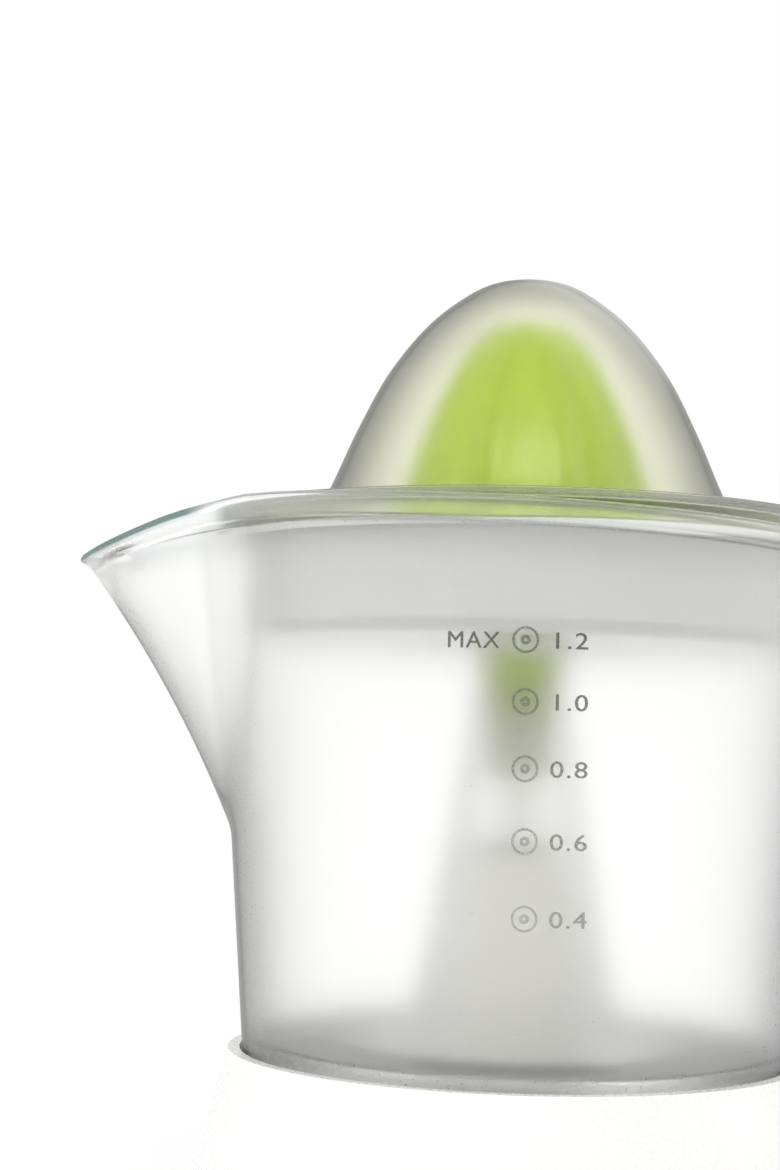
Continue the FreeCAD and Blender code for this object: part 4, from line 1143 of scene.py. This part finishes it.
# --- cover --------------------------------------------------------------------------------------
@dataclass
class Cover:
    """Frosted dust cover: a bell on a flat brim with a short skirt that fits the strainer."""

    material: bpy.types.Material
    dome: Knots = (
        (0.0, 248.3), (10.0, 246.9), (20.0, 240.8), (33.1, 226.0), (40.9, 211.3), (47.0, 197.2),
        (50.2, 190.2))
    wall: float = 1.8
    brim_radius: float = 74.4
    brim_top: float = 189.6
    brim_under: float = 188.0
    skirt_radius: float = 73.33
    skirt_low: float = 183.1
    brink_share: float = 0.25
    columns: int = 256

    def build(self) -> None:
        """Make the cover as one turned shell, closed at both poles."""
        outer, inner = bell(self.dome, self.wall, self.wall, self.brim_under + 1.0)
        skirt_inside = self.skirt_radius - self.wall
        brim = rounded_line([
            tuple(outer[-1]), (outer[-1, 0] + 0.6, self.brim_top), (self.brim_radius, self.brim_top),
            (self.brim_radius, self.brim_under), (self.skirt_radius, self.brim_under),
            (self.skirt_radius, self.skirt_low), (skirt_inside, self.skirt_low),
            (skirt_inside, self.brim_under), (inner[-1, 0] + 0.5, self.brim_under),
            tuple(inner[-1])], 0.6, 4)
        profile = np.concatenate([outer[1:-1], brim, inner[-2:0:-1]])
        shell = capped(turned(profile, self.columns), on_axis(outer[0, 1], inner[0, 1]))
        brink = (profile[:, 0] > self.brim_radius - 1.2) & (profile[:, 1] > self.brim_under - 0.2)
        paints = {"polish": np.repeat(brink.astype(float), self.columns),
                  "deep": np.repeat(brink * self.brink_share, self.columns)}
        made = to_object("cover_bell", shell, paints=paints)
        show(made, self.material, "cover", Slot.COVER, "dust_cover")


# --- cone ---------------------------------------------------------------------------------------
@dataclass
class Cone:
    """Lime pressing cone with eight soft ridges, a hollow underside and a hub."""

    material: bpy.types.Material
    skin: Knots = (
        (0.0, 238.0), (5.4, 236.6), (10.6, 232.6), (19.8, 217.9), (27.0, 200.5), (31.9, 183.1),
        (36.2, 173.4), (38.0, 171.0))
    skirt_low: float = 169.0
    ridge: float = 2.6
    ridges: int = 8
    ridge_width: float = 2.1
    wall: float = 2.2
    hub_radius: float = 8.4
    hub_low: float = 150.0
    shoulder_radius: float = 12.0
    shoulder_top: float = 187.4
    shoulder_low: float = 175.4
    socket_radius: float = 5.3
    socket_top: float = 180.0
    columns: int = 384

    def build(self) -> None:
        """Make the skin with its ridges, the hollow under it, and the hub.

        A ridge raises the skin by its height times a bell curve of the distance round the
        cone from the ridge's middle, and fades out at the tip and at the skirt.
        """
        outer, inner = bell(self.skin, self.wall, self.wall * 1.3, self.skirt_low + 1.0)
        edge = rounded_line([
            tuple(outer[-1]), (outer[-1, 0], self.skirt_low), (outer[-1, 0] - self.wall, self.skirt_low),
            tuple(inner[-1])], 0.5, 3)
        profile = np.concatenate([outer[1:-1], edge, inner[-2:0:-1]])
        grid = turned(profile, self.columns)
        spacing = 2 * math.pi / self.ridges
        off = np.mod(around(self.columns), spacing) - spacing / 2
        radius, height = profile[:, :1], profile[:, 1:]
        outside = (np.arange(len(profile)) < len(outer) - 2)[:, None]
        fade = ramp(height, self.skirt_low + 4.0, 6.0) * ramp(radius, 0.0, 6.0) * outside
        lift = self.ridge * fade * np.exp(-((off * radius) / self.ridge_width) ** 2)
        grid[..., :2] *= ((radius + lift) / np.clip(radius, 0.01, None))[..., None]
        shell = capped(grid, on_axis(outer[0, 1], inner[0, 1]))
        made = to_object("cone_skin", shell, self.hub())
        show(made, self.material, "cone", Slot.LIME, "press_cone")

    def hub(self) -> Shell:
        """Turned hub with its shoulder and its blind socket.

        Returns:
            Points and faces.
        """
        top = self.skin[0][1] - self.wall * 1.6
        profile = rounded_line([
            (0.01, top), (self.hub_radius - 3.0, top), (self.hub_radius, top - 6.0),
            (self.hub_radius, self.shoulder_top), (self.shoulder_radius, self.shoulder_top),
            (self.shoulder_radius, self.shoulder_low), (self.hub_radius, self.shoulder_low),
            (self.hub_radius, self.hub_low), (self.socket_radius, self.hub_low),
            (self.socket_radius, self.socket_top), (0.01, self.socket_top)], 0.5, 3)
        profile = profile[profile[:, 0] > 0.02]
        return capped(turned(profile, 64), on_axis(top, self.socket_top))


# --- carried solids -----------------------------------------------------------------------------
@dataclass
class CarriedSolids:
    """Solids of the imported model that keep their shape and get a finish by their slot."""

    nodes: Mapping[str, bpy.types.Object]
    slots: Mapping[str, str]
    materials: Mapping[Slot, bpy.types.Material]
    stroke: float = 2.6 * MM

    def build(self) -> None:
        """Give every solid its own finish, or else that of its slot."""
        apart = {name: finish.material() for name, finish in NODE_FINISHES.items()}
        for name, made in self.nodes.items():
            slot = Slot(self.slots.get(name, Slot.WHITE.value))
            chosen = apart.get(name, self.materials[slot])
            for holder in made.material_slots:
                holder.material = chosen
            if not made.material_slots:
                made.data.materials.append(chosen)
            LOG.info("%s: %s", name, slot.value)
        self.squash_spring()

    def squash_spring(self) -> None:
        """Give the return spring its own copy of its mesh."""
        spring = self.nodes["return_spring"]
        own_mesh(spring)


# --- studio -------------------------------------------------------------------------------------
@dataclass(frozen=True)
class Lamp:
    """Soft box: an oval of the given width and depth, in metres, and its power in watts."""

    name: str
    where: tuple[float, float, float]
    aim: tuple[float, float, float]
    width: float
    depth: float
    power: float


@dataclass
class Studio:
    """White sweep, soft lamps and the camera."""

    eye: tuple[float, float, float] = (0.0, -532.6, 134.3)
    pitch: float = 4.19
    yaw: float = -3.48
    roll: float = 1.59
    focal: float = 67.69
    lamps: tuple[Lamp, ...] = (
        Lamp("front_box", (0.05, -0.85, 0.95), (0.0, 0.0, 0.15), 0.9, 0.12, 4.0),
        Lamp("left_box", (-0.95, -0.25, 0.6), (0.0, 0.0, 0.12), 0.6, 0.6, 2.4),
        Lamp("right_box", (0.95, 0.15, 0.5), (0.0, 0.0, 0.17), 0.6, 0.6, 1.4),
        Lamp("back_box", (0.3, 0.9, 0.9), (0.0, 0.0, 0.12), 0.7, 0.7, 1.2))

    def camera(self) -> None:
        """Put the camera up, turned from north by yaw, up by pitch and anticlockwise by roll."""
        yaw, pitch, roll = (math.radians(a) for a in (self.yaw, self.pitch, self.roll))
        lens = bpy.data.cameras.new("view")
        lens.sensor_fit = "VERTICAL"
        lens.sensor_height = 36.0
        lens.lens = self.focal
        lens.clip_start = 0.01
        lens.clip_end = 50.0
        made = bpy.data.objects.new("view", lens)
        upright = Matrix.Rotation(math.pi / 2 + pitch, 4, "X") @ Matrix.Rotation(roll, 4, "Z")
        turn = Matrix.Rotation(-yaw, 4, "Z") @ upright
        made.matrix_world = Matrix.Translation(Vector(self.eye) * MM) @ turn
        bpy.context.scene.collection.objects.link(made)
        bpy.context.scene.camera = made

    def light(self) -> None:
        """Put up the soft boxes."""
        for lamp in self.lamps:
            data = bpy.data.lights.new(lamp.name, "AREA")
            data.shape = "ELLIPSE"
            data.size = lamp.width
            data.size_y = lamp.depth
            data.energy = lamp.power
            made = bpy.data.objects.new(lamp.name, data)
            made.location = lamp.where
            aim = Vector(lamp.aim) - Vector(lamp.where)
            made.rotation_euler = aim.to_track_quat("-Z", "Y").to_euler()
            bpy.context.scene.collection.objects.link(made)

    def world(self) -> None:
        """White where it is seen, mirrored or seen through the plastic, and softer as light."""
        world = bpy.data.worlds.new("studio")
        bpy.context.scene.world = world
        world.use_nodes = True
        graph = Graph(world.node_tree)
        path = graph.node("LightPath")
        camera = Value(graph, path.outputs["Is Camera Ray"])
        through = Value(graph, path.outputs["Is Transmission Ray"])
        glossy = Value(graph, path.outputs["Is Glossy Ray"])
        side = graph.maths("ABSOLUTE", graph.axes(graph.node("TexCoord").outputs["Generated"])[0])
        seen = 1.0 - side ** 5.0 * 0.4
        other = graph.maths("MAXIMUM", through, glossy * 0.8) * seen
        strength = graph.maths("MAXIMUM", camera, graph.maths("MAXIMUM", other, 0.86))
        shade = graph.node("Background", {}, {"Color": WHITE, "Strength": strength})
        graph.node("OutputWorld", {}, {"Surface": shade.outputs[0]})

    def floor(self) -> None:
        """Lay the table: white round the object, where its shadow falls, and pure white far off."""
        material, graph = new_graph("table")
        x, y, _ = graph.axes()
        away = graph.maths("SQRT", x * x + y * y)
        far = graph.maths("MULTIPLY", away - 0.25, 2.2, clamp=True)
        near = graph.node("BsdfPrincipled", {}, {"Base Color": (0.93, 0.93, 0.93), "Roughness": 0.7})
        glow = graph.node("Emission", {}, {"Color": WHITE, "Strength": 1.0})
        mixed = graph.node("MixShader", {}, {0: far, 1: near.outputs[0], 2: glow.outputs[0]})
        graph.node("OutputMaterial", {}, {"Surface": mixed.outputs[0]})
        half = 6.0 / MM
        points = np.array([[-half, -half, 0.0], [half, -half, 0.0], [half, half, 0.0], [-half, half, 0.0]])
        made = to_object("table_top", (points, np.array([[0, 1, 2, 3]])))
        made.data.materials.append(material)

    def build(self) -> None:
        """Put up the camera, lamps, world and table."""
        self.camera()
        self.light()
        self.world()
        self.floor()


def main() -> None:
    """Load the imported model, dress it and report each piece."""
    logging.basicConfig(level=logging.INFO, format="%(name)s %(message)s")
    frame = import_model()
    record = frame["record"]
    slots = {entry["node"]: entry["material_slot"] for entry in record["subparts"]}
    materials = {slot: finish.material() for slot, finish in FINISHES.items()}
    Studio().build()
    CarriedSolids(frame["nodes"], slots, materials).build()
    Jug(materials[Slot.JUG], MARK_FINISH.material()).build()
    Cover(materials[Slot.COVER]).build()
    Cone(materials[Slot.LIME]).build()
    scene = bpy.context.scene
    scene.view_settings.view_transform = "Standard"


if __name__ == "__main__":
    main()
